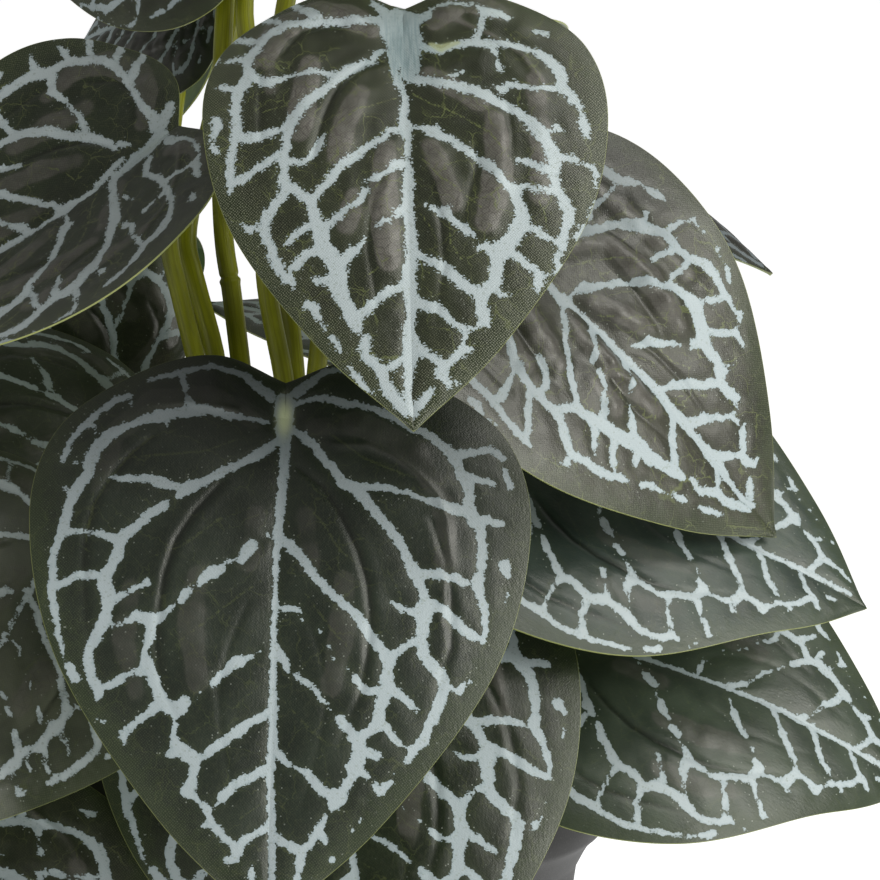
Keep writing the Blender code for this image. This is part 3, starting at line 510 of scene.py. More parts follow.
class BladeNodes(Nodes):
    """Woven cloth: dark printed face with pale jagged veins, green underside, light cut edge.

    Lengths are mm on the flat cloth.
    """
    WEAVE_PITCH = 0.84
    HAIR_GREEN = (0.14, 0.165, 0.055)

    def __init__(self):
        super().__init__("woven_printed_blade")
        self.cloth = self.attribute("cloth", "Vector")
        self.vein, self.margin, self.face = map(self.attribute, ("vein", "margin", "face"))
        finish = self.parts(self.attribute("finish", "Vector"))
        self.weave_show, self.hair_show, self.sheen_show = finish[0], finish[1], finish[2]
        self.wavy = self.moved(self.cloth, 0.8, 1.0, 0.9)
        self.threads = self.weave()
        self.drift = self.clouds(self.cloth, 0.45)
        self.blotch = self.clouds(self.cloth, 0.06)
        self.grain = self.clouds(self.cloth, 1.4, 4.0, (1, 0.45, 1))
        self.jag = self.cells(self.cloth, 0.42, 0.55)
        self.edge = self.print_edge()
        self.gaps = self.times(self.span(self.threads, 0.05, 0.75, 0.38, 0),
                               self.span(self.weave_show, 0, 1, 0.2, 1))

    def weave(self):
        """Over and under of a plain weave, 0 in the gaps and 1 on the threads."""
        turn = 2 * math.pi / self.WEAVE_PITCH
        across, along = (self.calc("SINE", self.times(part, turn))
                         for part in list(self.parts(self.wavy))[:2])
        sockets = {0: self.times(across, along), 1: 0.5, 2: 0.5}
        return self.add("Math", sockets, operation="MULTIPLY_ADD").outputs[0]

    def print_edge(self):
        """Distance to the pale print, roughened in steps along the weave and with barbs."""
        jag_size = self.span(self.weave_show, 0, 1, 0.15, 0.63)
        jagged = self.times(self.calc("SUBTRACT", self.jag, 0.5), jag_size)
        barbs = self.times(self.span(self.cells(self.cloth, 0.62, 0.34), 0.82, 0.88),
                           self.span(self.weave_show, 0, 1, -0.22, -0.62))
        return self.plus(self.vein, jagged, self.span(self.drift, 0.2, 0.8, -0.48, 0.48), barbs)

    def ground(self):
        """The dark print between the pale veins, with painted sheen on the puffs and painted shade in
        the grooves.
        """
        cast, painted_sheen_and_shade = self.attribute("cast", "Vector"), self.attribute("painted_sheen_and_shade")
        mottle = self.span(self.clouds(self.cloth, 0.22, 4.0), 0.3, 0.7, 0.65, 1.0)
        # The painted sheen follows the swells, patchy and crinkled.
        lit = self.times(self.span(painted_sheen_and_shade, 0.06, 0.48), self.sheen_show, mottle)
        painted_sheen_crinkles = self.times(self.span(self.net(self.wavy, 0.34), 0.0, 0.10, 0.55, 0), lit)
        near_edge = self.plus(self.margin, self.span(self.drift, 0.2, 0.8, -3.0, 3.0))
        halo = self.times(self.span(self.edge, 0.1, 1.9, 1, 0), 0.22)
        return self.layered(
            self.scaled(cast, (0.75, 0.78, 0.75)),
            (self.span(self.blotch, 0.35, 0.68), self.scaled(cast, (1.28, 1.28, 1.18))),
            (self.span(self.grain, 0.42, 0.75, 0, 0.13), (0.085, 0.087, 0.052)),
            # Painted sheen on the puffs and its darker crinkles.
            (lit, (0.146, 0.138, 0.120)),
            (painted_sheen_crinkles, (0.040, 0.034, 0.028)),
            # Painted shade in the grooves.
            (self.span(painted_sheen_and_shade, -0.6, -0.03, 0.75, 0), (0.003, 0.005, 0.003)),
            (self.span(near_edge, 0.5, 10.0, 0.55, 0), (0.028, 0.044, 0.013)),
            (halo, (0.045, 0.062, 0.030)),
            *self.hair_layers(), *self.weave_layers())

    def hair_layers(self):
        """Fine yellowish veins: the drawn threads, a net and a smaller net."""
        rough = self.plus(self.attribute("thread"), self.span(self.jag, 0, 1, -0.15, 0.15))
        warped = self.moved(self.cloth, 0.30, 2.0, 5)
        patchy = self.times(self.span(self.clouds(self.cloth, 0.13), 0.38, 0.58), self.hair_show)
        net, small_net = (self.times(self.span(self.net(warped, scale), low, high, most, 0), patchy)
                          for scale, low, high, most in ((0.11, 0.006, 0.019, 0.62),
                                                         (0.26, 0.012, 0.040, 0.26)))
        drawn = self.times(self.span(rough, -0.22, 0.0, 0.75, 0), self.hair_show)
        return (drawn, self.HAIR_GREEN), (net, self.HAIR_GREEN), (small_net, (0.12, 0.135, 0.055))

    def weave_layers(self):
        """Pale specks, pale dots on the threads and the dark gaps between them."""
        specks = self.times(self.span(self.cells(self.cloth, 0.36, 0.36), 0.9945, 0.997),
                            self.span(self.vein, 0.5, 4.0, 0.7, 0.12))
        dots = self.times(self.span(self.threads, 0.55, 0.90),
                          self.span(self.margin, 3.0, 18.0, 0.95, 0.20), self.weave_show)
        return ((specks, (0.33, 0.36, 0.30)), (dots, (0.17, 0.178, 0.12)), (self.gaps, (0, 0, 0)))

    def pale(self):
        """The pale print: worn threads, a greyer edge and the streaky patch at the junction."""
        worn = self.span(self.cells(self.cloth, 0.6, 0.4), 0.92, 0.98, 0, 0.4)
        streaks = self.span(self.clouds(self.cloth, 1.0, 3.0, (1.6, 0.16, 1)), 0.3, 0.65, 1.0, 0.55)
        return self.layered(
            (0.34, 0.40, 0.41),
            (self.attribute("tone"), (0.57, 0.64, 0.63)),
            (worn, (0.22, 0.26, 0.20)),
            (self.span(self.edge, -0.9, -0.15, 0, 0.45), (0.26, 0.34, 0.35)),
            (self.times(self.attribute("patch"), streaks), (0.19, 0.27, 0.275)),
            (self.times(self.gaps, 0.45), (0.12, 0.14, 0.12)))

    def under(self):
        return self.layered(
            (0.040, 0.100, 0.010),
            (self.span(self.blotch, 0.3, 0.7), (0.075, 0.150, 0.020)),
            (self.span(self.edge, -0.2, 0.3, 0.35, 0), (0.18, 0.25, 0.08)),
            (self.gaps, (0.02, 0.04, 0.01)))

    def finished(self):
        # Painted shade darkens the face and the cut edge towards the junction.
        printed, dim = self.span(self.edge, -0.26, -0.02, 1, 0), self.attribute("dim")
        yolk = self.span(self.attribute("yolk"), 0.0, 1.0, 0, 0.75)
        top = self.layered(self.ground(), (printed, self.pale()), (dim, (0.001, 0.002, 0.001)),
                           (yolk, (0.40, 0.44, 0.24)))
        rim = self.times(self.span(self.face, 0.01, 0.03), self.span(self.face, 0.97, 0.99, 1, 0))
        cut = self.calc("MAXIMUM", rim, self.span(self.margin, 0.05, 0.22, 0.6, 0))
        cut = self.times(cut, self.calc("SUBTRACT", 1.0, dim))
        colour = self.layered(self.under(), (self.span(self.face, 0.45, 0.55), top),
                              (cut, (0.27, 0.30, 0.09)))
        rough = self.plus(self.span(self.blotch, 0.3, 0.7, 0.34, 0.43), self.times(printed, 0.10))
        normal = self.bumped((self.times(self.threads, self.weave_show), 0.35, 0.00014),
                             (printed, 0.25, 0.0001), (self.grain, 0.25, 0.0003))
        return self.shade({"Base Color": colour, "Roughness": rough, "Specular IOR Level": 0.5,
                           "Specular Tint": (1.0, 0.985, 0.91, 1), "Sheen Weight": 0.05,
                           "Sheen Roughness": 0.45, "Sheen Tint": (1.0, 0.96, 0.88, 1), **normal})


def petiole_material():
    """Moulded olive plastic with faint lengthwise ribs."""
    nodes = Nodes("moulded_olive_petiole")
    stalk = nodes.attribute("stalk", "Vector")
    ribs = nodes.clouds(stalk, 1.0, 2.0, (5.0, 5.0, 0.05))
    patches = nodes.clouds(stalk, 1.0, 3.0, (0.6, 0.6, 0.045))
    pits = nodes.clouds(stalk, 1.0, 4.0, (9.0, 9.0, 1.6))
    colour = nodes.layered(
        (0.146, 0.155, 0.002),
        (nodes.span(patches, 0.3, 0.7), (0.255, 0.268, 0.005)),
        (nodes.span(ribs, 0.35, 0.7, 0, 0.45), (0.098, 0.099, 0.002)),
        (nodes.span(pits, 0.62, 0.75, 0, 0.4), (0.19, 0.17, 0.045)),
        (nodes.span(nodes.parts(stalk)[2], 0, 46, 0.55, 0), (0.075, 0.055, 0.022)))
    return nodes.shade({"Base Color": colour, "Roughness": nodes.span(pits, 0.3, 0.7, 0.36, 0.50),
                        "Specular IOR Level": 0.3,
                        **nodes.bumped((ribs, 0.5, 0.0004), (pits, 0.25, 0.00015))})


def pot_material():
    """Matte warm grey plastic with a fine grain and faint turning lines."""
    nodes = Nodes("matte_grey_pot")
    place = nodes.place()
    grain = nodes.clouds(place, 1400, 3.0)
    patches = nodes.clouds(place, 22, 4.0)
    rings = nodes.clouds(place, 1.0, 2.0, (3, 3, 900))
    colour = nodes.layered(
        (0.017, 0.0165, 0.0155),
        (nodes.span(patches, 0.3, 0.7), (0.026, 0.025, 0.023)),
        (nodes.span(grain, 0.58, 0.72, 0, 0.35), (0.066, 0.063, 0.060)))
    return nodes.shade({"Base Color": colour, "Roughness": nodes.span(patches, 0.3, 0.7, 0.58, 0.70),
                        **nodes.bumped((grain, 0.30, 0.0002), (rings, 0.15, 0.0002))})


def soil_material():
    """Brown coir with light fibres."""
    nodes = Nodes("coir_soil")
    place = nodes.place()
    lumps = nodes.clouds(place, 260, 6.0)
    fibres = nodes.clouds(place, 500, 4.0, (1, 0.2, 1))
    colour = nodes.layered(
        (0.020, 0.012, 0.007),
        (nodes.span(lumps, 0.35, 0.7), (0.085, 0.052, 0.028)),
        (nodes.span(fibres, 0.6, 0.7, 0, 0.7), (0.20, 0.13, 0.07)))
    return nodes.shade({"Base Color": colour, "Roughness": nodes.span(lumps, 0.3, 0.7, 0.85, 1.0),
                        **nodes.bumped((lumps, 0.9, 0.002))})


def floor_material():
    """White studio paper."""
    nodes = Nodes("studio_floor")
    paper = nodes.clouds(nodes.place(), 400, 3.0)
    colour = nodes.blend(nodes.span(paper, 0.3, 0.7), (0.93, 0.93, 0.93), (0.95, 0.95, 0.95))
    return nodes.shade({"Base Color": colour, "Roughness": 0.9, "Specular IOR Level": 0.2,
                        "Emission Color": (1, 1, 1, 1), "Emission Strength": 0.78})


# ---------------------------------------------------------------- curves and meshes

def chains(text):
    """The points of each chain as rows of three numbers, in blade lengths."""
    return [np.array([[int(word) for word in point.split()] for point in chain.split(",")]) / 1000
            for chain in text.split(";")]


Network = namedtuple("Network", "veins creases swells threads")
NETWORKS = {
    "wide": Network(*map(chains, (PRINT_WIDE, CREASES_WIDE, SWELLS_WIDE, THREADS_WIDE))),
    "dense": Network(*map(chains, (PRINT_DENSE, CREASES_DENSE, SWELLS_DENSE, THREADS_DENSE))),
}


def bell(values, width):
    return np.exp(-(values / width) ** 2)


def chain_distance(places, chain, stretch, is_signed=True):
    """Distance of each place to a chain, with the chain's third value and its run there.

    A signed distance is less the third value, which then is the chain's half-width.
    """
    scale = np.array([stretch, 1.0])
    starts, ends = (chain[:-1], chain[1:]) if len(chain) > 1 else (chain, chain)
    best = np.full(len(places), 9.0)
    third, run = np.zeros(len(places)), np.zeros(len(places))
    spots = places * scale
    passed = 0.0
    for start, end in zip(starts, ends):
        first, step = start[:2] * scale, (end[:2] - start[:2]) * scale
        length = math.hypot(*step)
        share = np.clip((spots - first) @ step / max(length ** 2, 1e-12), 0, 1)
        value = start[2] + (end[2] - start[2]) * share
        reach = np.linalg.norm(spots - first - share[:, None] * step, axis=1)
        if is_signed:
            reach = reach - value
        closer = reach < best
        best = np.where(closer, reach, best)
        third = np.where(closer, value, third)
        run = np.where(closer, passed + share * length, run)
        passed += length
    return best, third, run


def network_distance(places, network, stretch):
    return np.min([chain_distance(places, chain, stretch)[0] for chain in network], axis=0)


def smooth_curve(points, place):
    """Points on the smooth curve through the points; place counts the points from 0."""
    points = np.asarray(points, float)
    place = np.atleast_1d(np.asarray(place, float))
    index = np.minimum(place.astype(int), len(points) - 2)
    share = (place - index)[:, None]
    padded = np.vstack([2 * points[0] - points[1], points, 2 * points[-1] - points[-2]])
    before, start, end, after = (padded[index + shift] for shift in range(4))
    return 0.5 * (2 * start + (end - before) * share
                  + (2 * before - 5 * start + 4 * end - after) * share ** 2
                  + (3 * start - before - 3 * end + after) * share ** 3)


def placed(name, mesh, finish):
    """Object of the mesh, linked to the scene."""
    mesh.materials.append(finish)
    made = bpy.data.objects.new(name, mesh)
    bpy.context.scene.collection.objects.link(made)
    return made


def mesh_object(name, points, triangles, finish, sharp_angle):
    mesh = bpy.data.meshes.new(name)
    mesh.from_pydata((points * MM).tolist(), [], triangles.tolist())
    mesh.shade_smooth()
    mesh.set_sharp_from_angle(angle=math.radians(sharp_angle))
    return placed(name, mesh, finish)


def solid_object(name, solid, finish, sharp_angle=None):
    """Object of a bmesh, which is used up."""
    mesh = bpy.data.meshes.new(name)
    solid.to_mesh(mesh)
    solid.free()
    mesh.shade_smooth()
    if sharp_angle:
        mesh.set_sharp_from_angle(angle=math.radians(sharp_angle))
    return placed(name, mesh, finish)


def keep(mesh, name, values):
    """Attribute of the vertices: a number or a vector for each."""
    values = np.asarray(values, np.float32)
    kind, field = ("FLOAT_VECTOR", "vector") if values.ndim == 2 else ("FLOAT", "value")
    mesh.attributes.new(name, kind, "POINT").data.foreach_set(field, values.ravel())


def keep_map(mesh, corners):
    """UV map from one place for each corner of the mesh's triangles."""
    layer = mesh.uv_layers.new(name="OFBake")
    layer.data.foreach_set("uv", np.asarray(corners, np.float32).ravel())


def two_triangles(low, low_next, up_next, up):
    """Triangles of four-sided faces, given by the numbers of their corners."""
    return np.concatenate([np.stack([low, low_next, up_next], 1), np.stack([low, up_next, up], 1)])


# ---------------------------------------------------------------- blades

def midrib(row_share):
    late = np.clip((np.asarray(row_share) - FAN_SHARE) / (1 - FAN_SHARE), 0, 1)
    return late ** ROW_SWEEP


def blade_frame(leaf):
    """Places the blade, in mm: +X along the midrib, +Y across, +Z out of the printed face."""
    turn = (Matrix.Rotation(math.radians(leaf.heading), 4, "Z")
            @ Matrix.Rotation(math.radians(leaf.droop), 4, "Y")
            @ Matrix.Rotation(math.radians(leaf.roll), 4, "X"))
    return Matrix.Translation((leaf.x, leaf.y, leaf.z)) @ turn


def number_grid(rows, columns, lobe_rows):
    """Number of each vertex by half, row and column, and the first place of each number.

    The halves share the junction, the midrib, the notch and the tip.
    """
    index = np.zeros((2, rows + 1, columns + 1), int)
    owners, numbers = [], {}
    for half in (0, 1):
        for row in range(rows + 1):
            for column in range(columns + 1):
                if row == rows:
                    key = "tip"
                elif column == 0:
                    key = "junction" if row <= lobe_rows else ("rib", row)
                elif row == 0:
                    key = ("notch", column)
                else:
                    key = (half, row, column)
                if key not in numbers:
                    numbers[key] = len(owners)
                    owners.append((half, row, column))
                index[half, row, column] = numbers[key]
    return index, np.array(owners).T


def blade_grid(leaf, look):
    """Vertex numbers, flat places and points in mm of a blade without thickness or embossing.

    Then, for each vertex, how far out from the midrib it is, its distance to the margin in mm and
    its share of the way round the outline.
    """
    lobe_rows = int(look.rows * LOBE_ROW_SHARE)
    row_shares = np.concatenate([np.linspace(0, FAN_SHARE, lobe_rows, endpoint=False),
                                 np.linspace(FAN_SHARE, 1, look.rows + 1 - lobe_rows)])
    index, (half, row, column) = number_grid(look.rows, look.columns, lobe_rows)
    rim = smooth_curve(HALF_OUTLINE, row_shares * (len(HALF_OUTLINE) - 1))
    ribs = np.stack([np.zeros(look.rows + 1), midrib(row_shares)], axis=1)
    side = 1.0 - 2.0 * half
    share, out = row_shares[row], np.linspace(0, 1, look.columns + 1)[column]
    out = np.where(row == look.rows, 0.0, out)
    flat = ribs[row] * (1 - out[:, None]) + rim[row] * out[:, None]
    pinch = np.where(side < 0, look.pinch, look.pinch / 3)
    across = side * flat[:, 0] * (1 - pinch * bell(share - PINCH_PLACE, PINCH_REACH))
    along = flat[:, 1]
    bow = np.sin(np.pi * np.clip(share, 0, 1)).clip(0)
    height = (leaf.arch * 4 * along * (1 - along) - leaf.cup * across ** 2
              + PUFF * np.sin(np.pi * out) * bow ** 0.5
              + WAVE * out ** 3 * bow * np.sin(2 * np.pi * WAVE_COUNT * share + side + leaf.heading))
    points = np.stack([along, across * leaf.width, height], axis=1) * leaf.length
    margin = np.linalg.norm((rim[row] - flat) * [leaf.width, 1], axis=1) * leaf.length
    return index, np.stack([across, along], axis=1), points, out, margin, share


def grid_triangles(index):
    """Triangles of both halves, seen from the printed face, without empty ones."""
    found = []
    for half, grid in enumerate(index):
        both = two_triangles(grid[:-1, :-1].ravel(), grid[:-1, 1:].ravel(),
                             grid[1:, 1:].ravel(), grid[1:, :-1].ravel())
        found.append(both[:, ::-1] if half == 0 else both)
    found = np.concatenate(found)
    first, second, third = found.T
    return found[(first != second) & (second != third) & (first != third)]


def vertex_normals(points, triangles):
    first, second, third = (points[triangles[:, corner]] for corner in range(3))
    faces = np.cross(second - first, third - first)
    normals = np.zeros_like(points)
    for corner in range(3):
        np.add.at(normals, triangles[:, corner], faces)
    return normals / np.maximum(np.linalg.norm(normals, axis=1), 1e-12)[:, None]


def noises(*columns):
    """Smooth noise at each row of three columns."""
    return np.array([noise.noise(Vector(place)) for place in zip(*columns)])


def relief(places, vein, leaf, look, seed):
    """Height of the embossing in mm, and how far each place stands out (1) or is in a groove (-1),
    which the material paints as sheen and as shade.
    """
    network, count = NETWORKS[look.print_kind], len(places)
    away = np.maximum(vein, 0)
    height = sum(rise * (1 - np.exp(-away / reach)) for rise, reach in VEIN_STEPS) - VEIN_DEPTH
    # Painted sheen on the swells and their flanks, painted shade in the creases.
    painted_sheen_and_shade = np.zeros(count)
    for chain in network.creases:
        distance, depth, _ = chain_distance(places, chain, leaf.width, False)
        distance = distance * leaf.length
        lips = LIP_SHARE * bell(distance - LIP_PLACE, LIP_WIDTH)
        height -= depth * CREASE_STRENGTH * (bell(distance, GROOVE_WIDTH) - lips)
        painted_sheen_and_shade -= depth * BAND_GAIN * bell(distance, BAND_GROOVE_WIDTH)
    for chain in network.swells:
        distance, rise, run = chain_distance(places, chain, leaf.width, False)
        ladder = noises(run * 26, distance * 5, np.full(count, seed + 0.5))
        distance = distance * leaf.length
        soft = bell(distance, SWELL_WIDTH)
        strength = SWELL_STRENGTH[look.print_kind] * look.swell
        height += rise * strength * soft * (1 + LADDER_SHARE * ladder)
        flank = np.clip((FLANK_PLACE + rise * FLANK_GAIN - distance) / FLANK_WIDTH + 0.5, 0, 1)
        painted_sheen_and_shade += (rise * BAND_GAIN * (BAND_SOFT * soft + BAND_FLANK * flank)
                 * (1 + BAND_LADDER * ladder))
    wrinkles = noises(places[:, 0] * 22, places[:, 1] * 30, np.full(count, seed * 3.7))
    height += WRINKLE[look.print_kind] * wrinkles * (1 - np.exp(-away / WRINKLE_FADE))
    return np.maximum(height + RELIEF_LIFT, RELIEF_FLOOR), np.clip(painted_sheen_and_shade, -1, 1)


def markings(leaf, look, places):
    """Distance in mm to the print's veins and threads, the strength of the junction's colours
    and the painted shade near the junction.
    """
    network = NETWORKS[look.print_kind]
    veins, pattern, size = network.veins, places / look.print_scale, leaf.length * look.print_scale
    across, along = places.T
    yolk = YOLK_STRENGTH[look.print_kind] * bell(across, YOLK_SIZE[0]) * bell(along, YOLK_SIZE[1])
    patch = 0.5 * bell(across, 0.05) * bell(along - 0.02, 0.07)
    if leaf.name in WIDE_JUNCTION:
        veins = veins + chains(JUNCTION_PATCH)
        fold = chain_distance(places, chains(FOLD_MARK)[0], leaf.width)[0] * leaf.length
        yolk = np.exp(-np.maximum(fold, 0) / 0.3)
        patch = bell(across, 0.075) * np.exp(-((along - 0.03) / 0.10) ** 4)
    return {"vein": network_distance(pattern, veins, leaf.width) * size,
            "thread": network_distance(pattern, network.threads, leaf.width) * size,
            # Painted shade: darkest at the junction, fading out along the blade.
            "dim": look.dim * np.clip(1 - (along + 0.05) / look.dim_reach, 0, 1),
            "yolk": yolk, "patch": patch}


def closed_sheet(index, middle, out, raised):
    """Points and triangles of a blade with thickness, its rim triangles and each point's vertex.

    The printed face comes first, then the underside, which has fewer columns.
    """
    triangles = grid_triangles(index)
    normals = vertex_normals(middle, triangles)
    half = (BLADE_THICKNESS + (MARGIN_THICKNESS - BLADE_THICKNESS) * out ** 8) / 2
    top = middle + normals * (half + raised * (1 - out ** 6))[:, None]
    sparse = index[:, :, ::UNDER_STEP]
    kept, renumbered = np.unique(sparse, return_inverse=True)
    low = (middle - normals * half[:, None])[kept]
    low_index = renumbered.reshape(sparse.shape) + len(top)
    rims = []
    for half_index, half_low in zip(index, low_index):
        upper, lower = half_index[:, -1], half_low[:, -1]
        rims.append(two_triangles(upper[:-1], lower[:-1], lower[1:], upper[1:]))
    rims = np.concatenate([rims[0], rims[1][:, ::-1]])
    faces = np.concatenate([triangles, grid_triangles(low_index)[:, ::-1], rims])
    return np.concatenate([top, low]), faces, rims, np.concatenate([np.arange(len(top)), kept])


def blade_map(places, share, order, is_top, faces, rims):
    """UV places: the face on the left, the underside on the right and the rims in strips above."""
    sheet = np.column_stack([0.25 + places[:, 0] * 0.47,
                             0.02 + (places[:, 1] + 0.135) / 1.14 * 0.92])[order]
    sheet[~is_top, 0] += 0.5
    corners = sheet[faces]
    strips = np.column_stack([share[order] * 0.48, np.where(is_top, 0.965, 0.985)])[rims]
    strips[len(rims) // 2:, :, 0] += 0.5
    corners[-len(rims):] = strips
    return corners


def blade(leaf, seed, finish):
    look = LOOKS.get(leaf.name, OTHER_LOOK)
    index, places, middle, out, margin, share = blade_grid(leaf, look)
    numbers = {"margin": margin, **markings(leaf, look, places)}
    raised, numbers["painted_sheen_and_shade"] = relief(places / look.print_scale, numbers["vein"], leaf, look, seed)
    points, faces, rims, order = closed_sheet(index, middle, out, raised)
    is_top = np.arange(len(points)) < len(middle)
    frame = np.array(blade_frame(leaf))
    points = points @ frame[:3, :3].T + frame[:3, 3]
    made = mesh_object("leaf_" + leaf.name, points, faces, finish, 42)
    mesh = made.data
    for name, values in numbers.items():
        keep(mesh, name, values[order])
    keep(mesh, "face", is_top)
    # Print brightness and ground colour of this blade, partly painted light and shade.
    keep(mesh, "tone", np.full(len(points), look.pale))
    keep(mesh, "cast", np.tile(look.ground, (len(points), 1)))
    keep(mesh, "finish", np.tile(look.finish, (len(points), 1)))
    cloth = np.column_stack([places[:, 0] * leaf.width * leaf.length, places[:, 1] * leaf.length,
                             np.full(len(places), float(seed * BLADE_STEP))])
    keep(mesh, "cloth", cloth[order])
    keep_map(mesh, blade_map(places, share, order, is_top, faces, rims))
    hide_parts("blade_" + leaf.name)
    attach(made, "root")


# ---------------------------------------------------------------- petioles

def hole_centre(leaf):
    radius, first, step = HOLE_RINGS[leaf.ring]
    angle = math.radians(first + step * leaf.hole)
    return Vector((radius * math.cos(angle), radius * math.sin(angle), 0))


def midrib_point(leaf, along):
    return Vector((along, 0, leaf.arch * 4 * along * (1 - along))) * leaf.length


def petiole_path(leaf):
    """Centre line and radii, in mm, at the rings of the frame's petiole."""
    frame = blade_frame(leaf)
    foot = hole_centre(leaf)
    drop = BLADE_THICKNESS / 2 + GAP
    under_blade = midrib_point(leaf, 0.03) - Vector((0, 0, drop + PETIOLE_TOP_RADIUS * 1.3))
    route = [foot + Vector((0, 0, FILL_TOP + STRAIGHT_BASE)), *map(Vector, leaf.way),
             frame @ Vector((0, 0, -leaf.neck)), frame @ under_blade]
    centres = [foot + Vector((0, 0, FILL_TOP - HOLE_DEPTH))]
    for leg in range(len(route) - 1):
        steps = max(2, math.ceil((route[leg + 1] - route[leg]).length / PETIOLE_STEP))
        if leg == len(route) - 2:
            steps = 3
        centres += map(Vector, smooth_curve(route, leg + np.arange(steps) / steps))
    radii = list(np.linspace(PETIOLE_BASE_RADIUS, PETIOLE_TOP_RADIUS, len(centres)))
    radii[1] = PETIOLE_BASE_RADIUS
    for row in range(ROWS + 1):
        along = float(midrib(row / ROWS))
        if 0 < along < RIB_END:
            radius = PETIOLE_TOP_RADIUS + (RIB_END_RADIUS - PETIOLE_TOP_RADIUS) * along / RIB_END
            slope = Vector((1, 0, leaf.arch * 4 * (1 - 2 * along))).normalized()
            inward = Vector((-slope.z, 0, slope.x)) * (drop + radius)
            centres.append(frame @ (midrib_point(leaf, along) - inward))
            radii.append(radius)
    return np.array([tuple(point) for point in centres]), np.array(radii)


def petiole_line(leaf):
    """Centres of the rings in mm, their radii, the way ahead there and the length up to them."""
    centres, radii = petiole_path(leaf)
    places = np.linspace(0, len(centres) - 1, (len(centres) - 1) * PETIOLE_FINER + 1)
    joint = None
    if leaf.name in JOINTS:
        low = places[:len(places) // 2]
        joint = np.interp(JOINTS[leaf.name], smooth_curve(centres, low)[:, 2], low)
        places = np.unique(np.concatenate([places, joint + JOINT_STEPS]))
    line = smooth_curve(centres, places)
    straight = places <= 1
    line[straight] = centres[0] + (centres[1] - centres[0]) * places[straight, None]
    ahead = np.gradient(line, axis=0)
    ahead /= np.linalg.norm(ahead, axis=1)[:, None]
    ahead[straight] = (0, 0, 1)
    length = np.concatenate([[0], np.cumsum(np.linalg.norm(np.diff(line, axis=0), axis=1))])
    width = np.interp(places, np.arange(len(radii)), radii)
    if joint is not None:
        from_joint = length - np.interp(joint, places, length)
        width = width * (1 + LIP_RISE * bell(from_joint + LIP_ABOVE, LIP_REACH)
                         - NECK_CUT * bell(from_joint, NECK_REACH))
    return line, width, ahead, length


def petiole_map(faces, length, turns):
    """UV places: the stalk unrolled, and a row of small triangles for each end."""
    share = np.repeat(0.02 + 0.9 * length / length[-1], PETIOLE_SIDES)
    turn_share = np.tile(np.arange(PETIOLE_SIDES) / PETIOLE_SIDES, len(length))
    corners = np.concatenate([np.column_stack([turn_share, share]), [[0, 0.01], [0, 0.99]]])[faces]
    sides = corners[:, :, 0]
    wraps = (sides.max(axis=1) - sides.min(axis=1)) > 0.5
    sides[wraps] = np.where(sides[wraps] < 0.5, sides[wraps] + 1, sides[wraps])
    corners[:, :, 0] = 0.01 + sides * 0.96
    for start, height in ((-2 * PETIOLE_SIDES, 0.94), (-PETIOLE_SIDES, 0.98)):
        block = slice(start, start + PETIOLE_SIDES or None)
        corners[block, 0] = np.column_stack([turns / 7 + 0.02, np.full(PETIOLE_SIDES, height)])
        corners[block, 1] = corners[block, 0] + [0.04, 0]
        corners[block, 2] = corners[block, 0] + [0.02, 0.02]
    return corners


def petiole(leaf, seed, finish):
    """A smooth round stalk with rounded ends on the frame's centre line."""
    line, width, ahead, length = petiole_line(leaf)
    turns = 2 * np.pi * np.arange(PETIOLE_SIDES) / PETIOLE_SIDES
    across = np.array([1.0, 0, 0])
    points, stalk = [], []
    for centre, radius, axis, run in zip(line, width, ahead, length):
        across = across - axis * (across @ axis)
        across /= np.linalg.norm(across)
        ring = np.outer(np.cos(turns), across) + np.outer(np.sin(turns), np.cross(axis, across))
        points.append(centre + ring * radius)
        stalk.append(np.column_stack([np.cos(turns) + seed * 5, np.sin(turns),
                                      np.full(PETIOLE_SIDES, run)]))
    points += [[line[0]], [line[-1] + ahead[-1] * width[-1] * TIP_ROUNDING]]
    stalk += [[[seed * 5, 0, 0], [seed * 5, 0, length[-1]]]]
    points, stalk = np.concatenate(points), np.concatenate(stalk)
    number = np.arange(len(line) * PETIOLE_SIDES).reshape(-1, PETIOLE_SIDES)
    follow = np.roll(number, -1, axis=1)
    first, last = len(points) - 2, len(points) - 1
    faces = np.concatenate([
        two_triangles(*(grid.ravel() for grid in (number[:-1], follow[:-1], follow[1:], number[1:]))),
        np.stack([follow[0], number[0], np.full(PETIOLE_SIDES, first)], 1),
        np.stack([number[-1], follow[-1], np.full(PETIOLE_SIDES, last)], 1)])
    made = mesh_object("stalk_" + leaf.name, points, faces, finish, 60)
    keep(made.data, "stalk", stalk)
    keep_map(made.data, petiole_map(faces, length, turns))
    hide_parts("petiole_" + leaf.name)
    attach(made, "root")


# ---------------------------------------------------------------- pot and soil

def arc(centre, radius, first, last, steps):
    """Points of a rounded edge, angles in degrees from the outward radius."""
    turns = np.radians(np.linspace(first, last, steps))
    return [(centre[0] + radius * math.cos(turn), centre[1] + radius * math.sin(turn))
            for turn in turns]


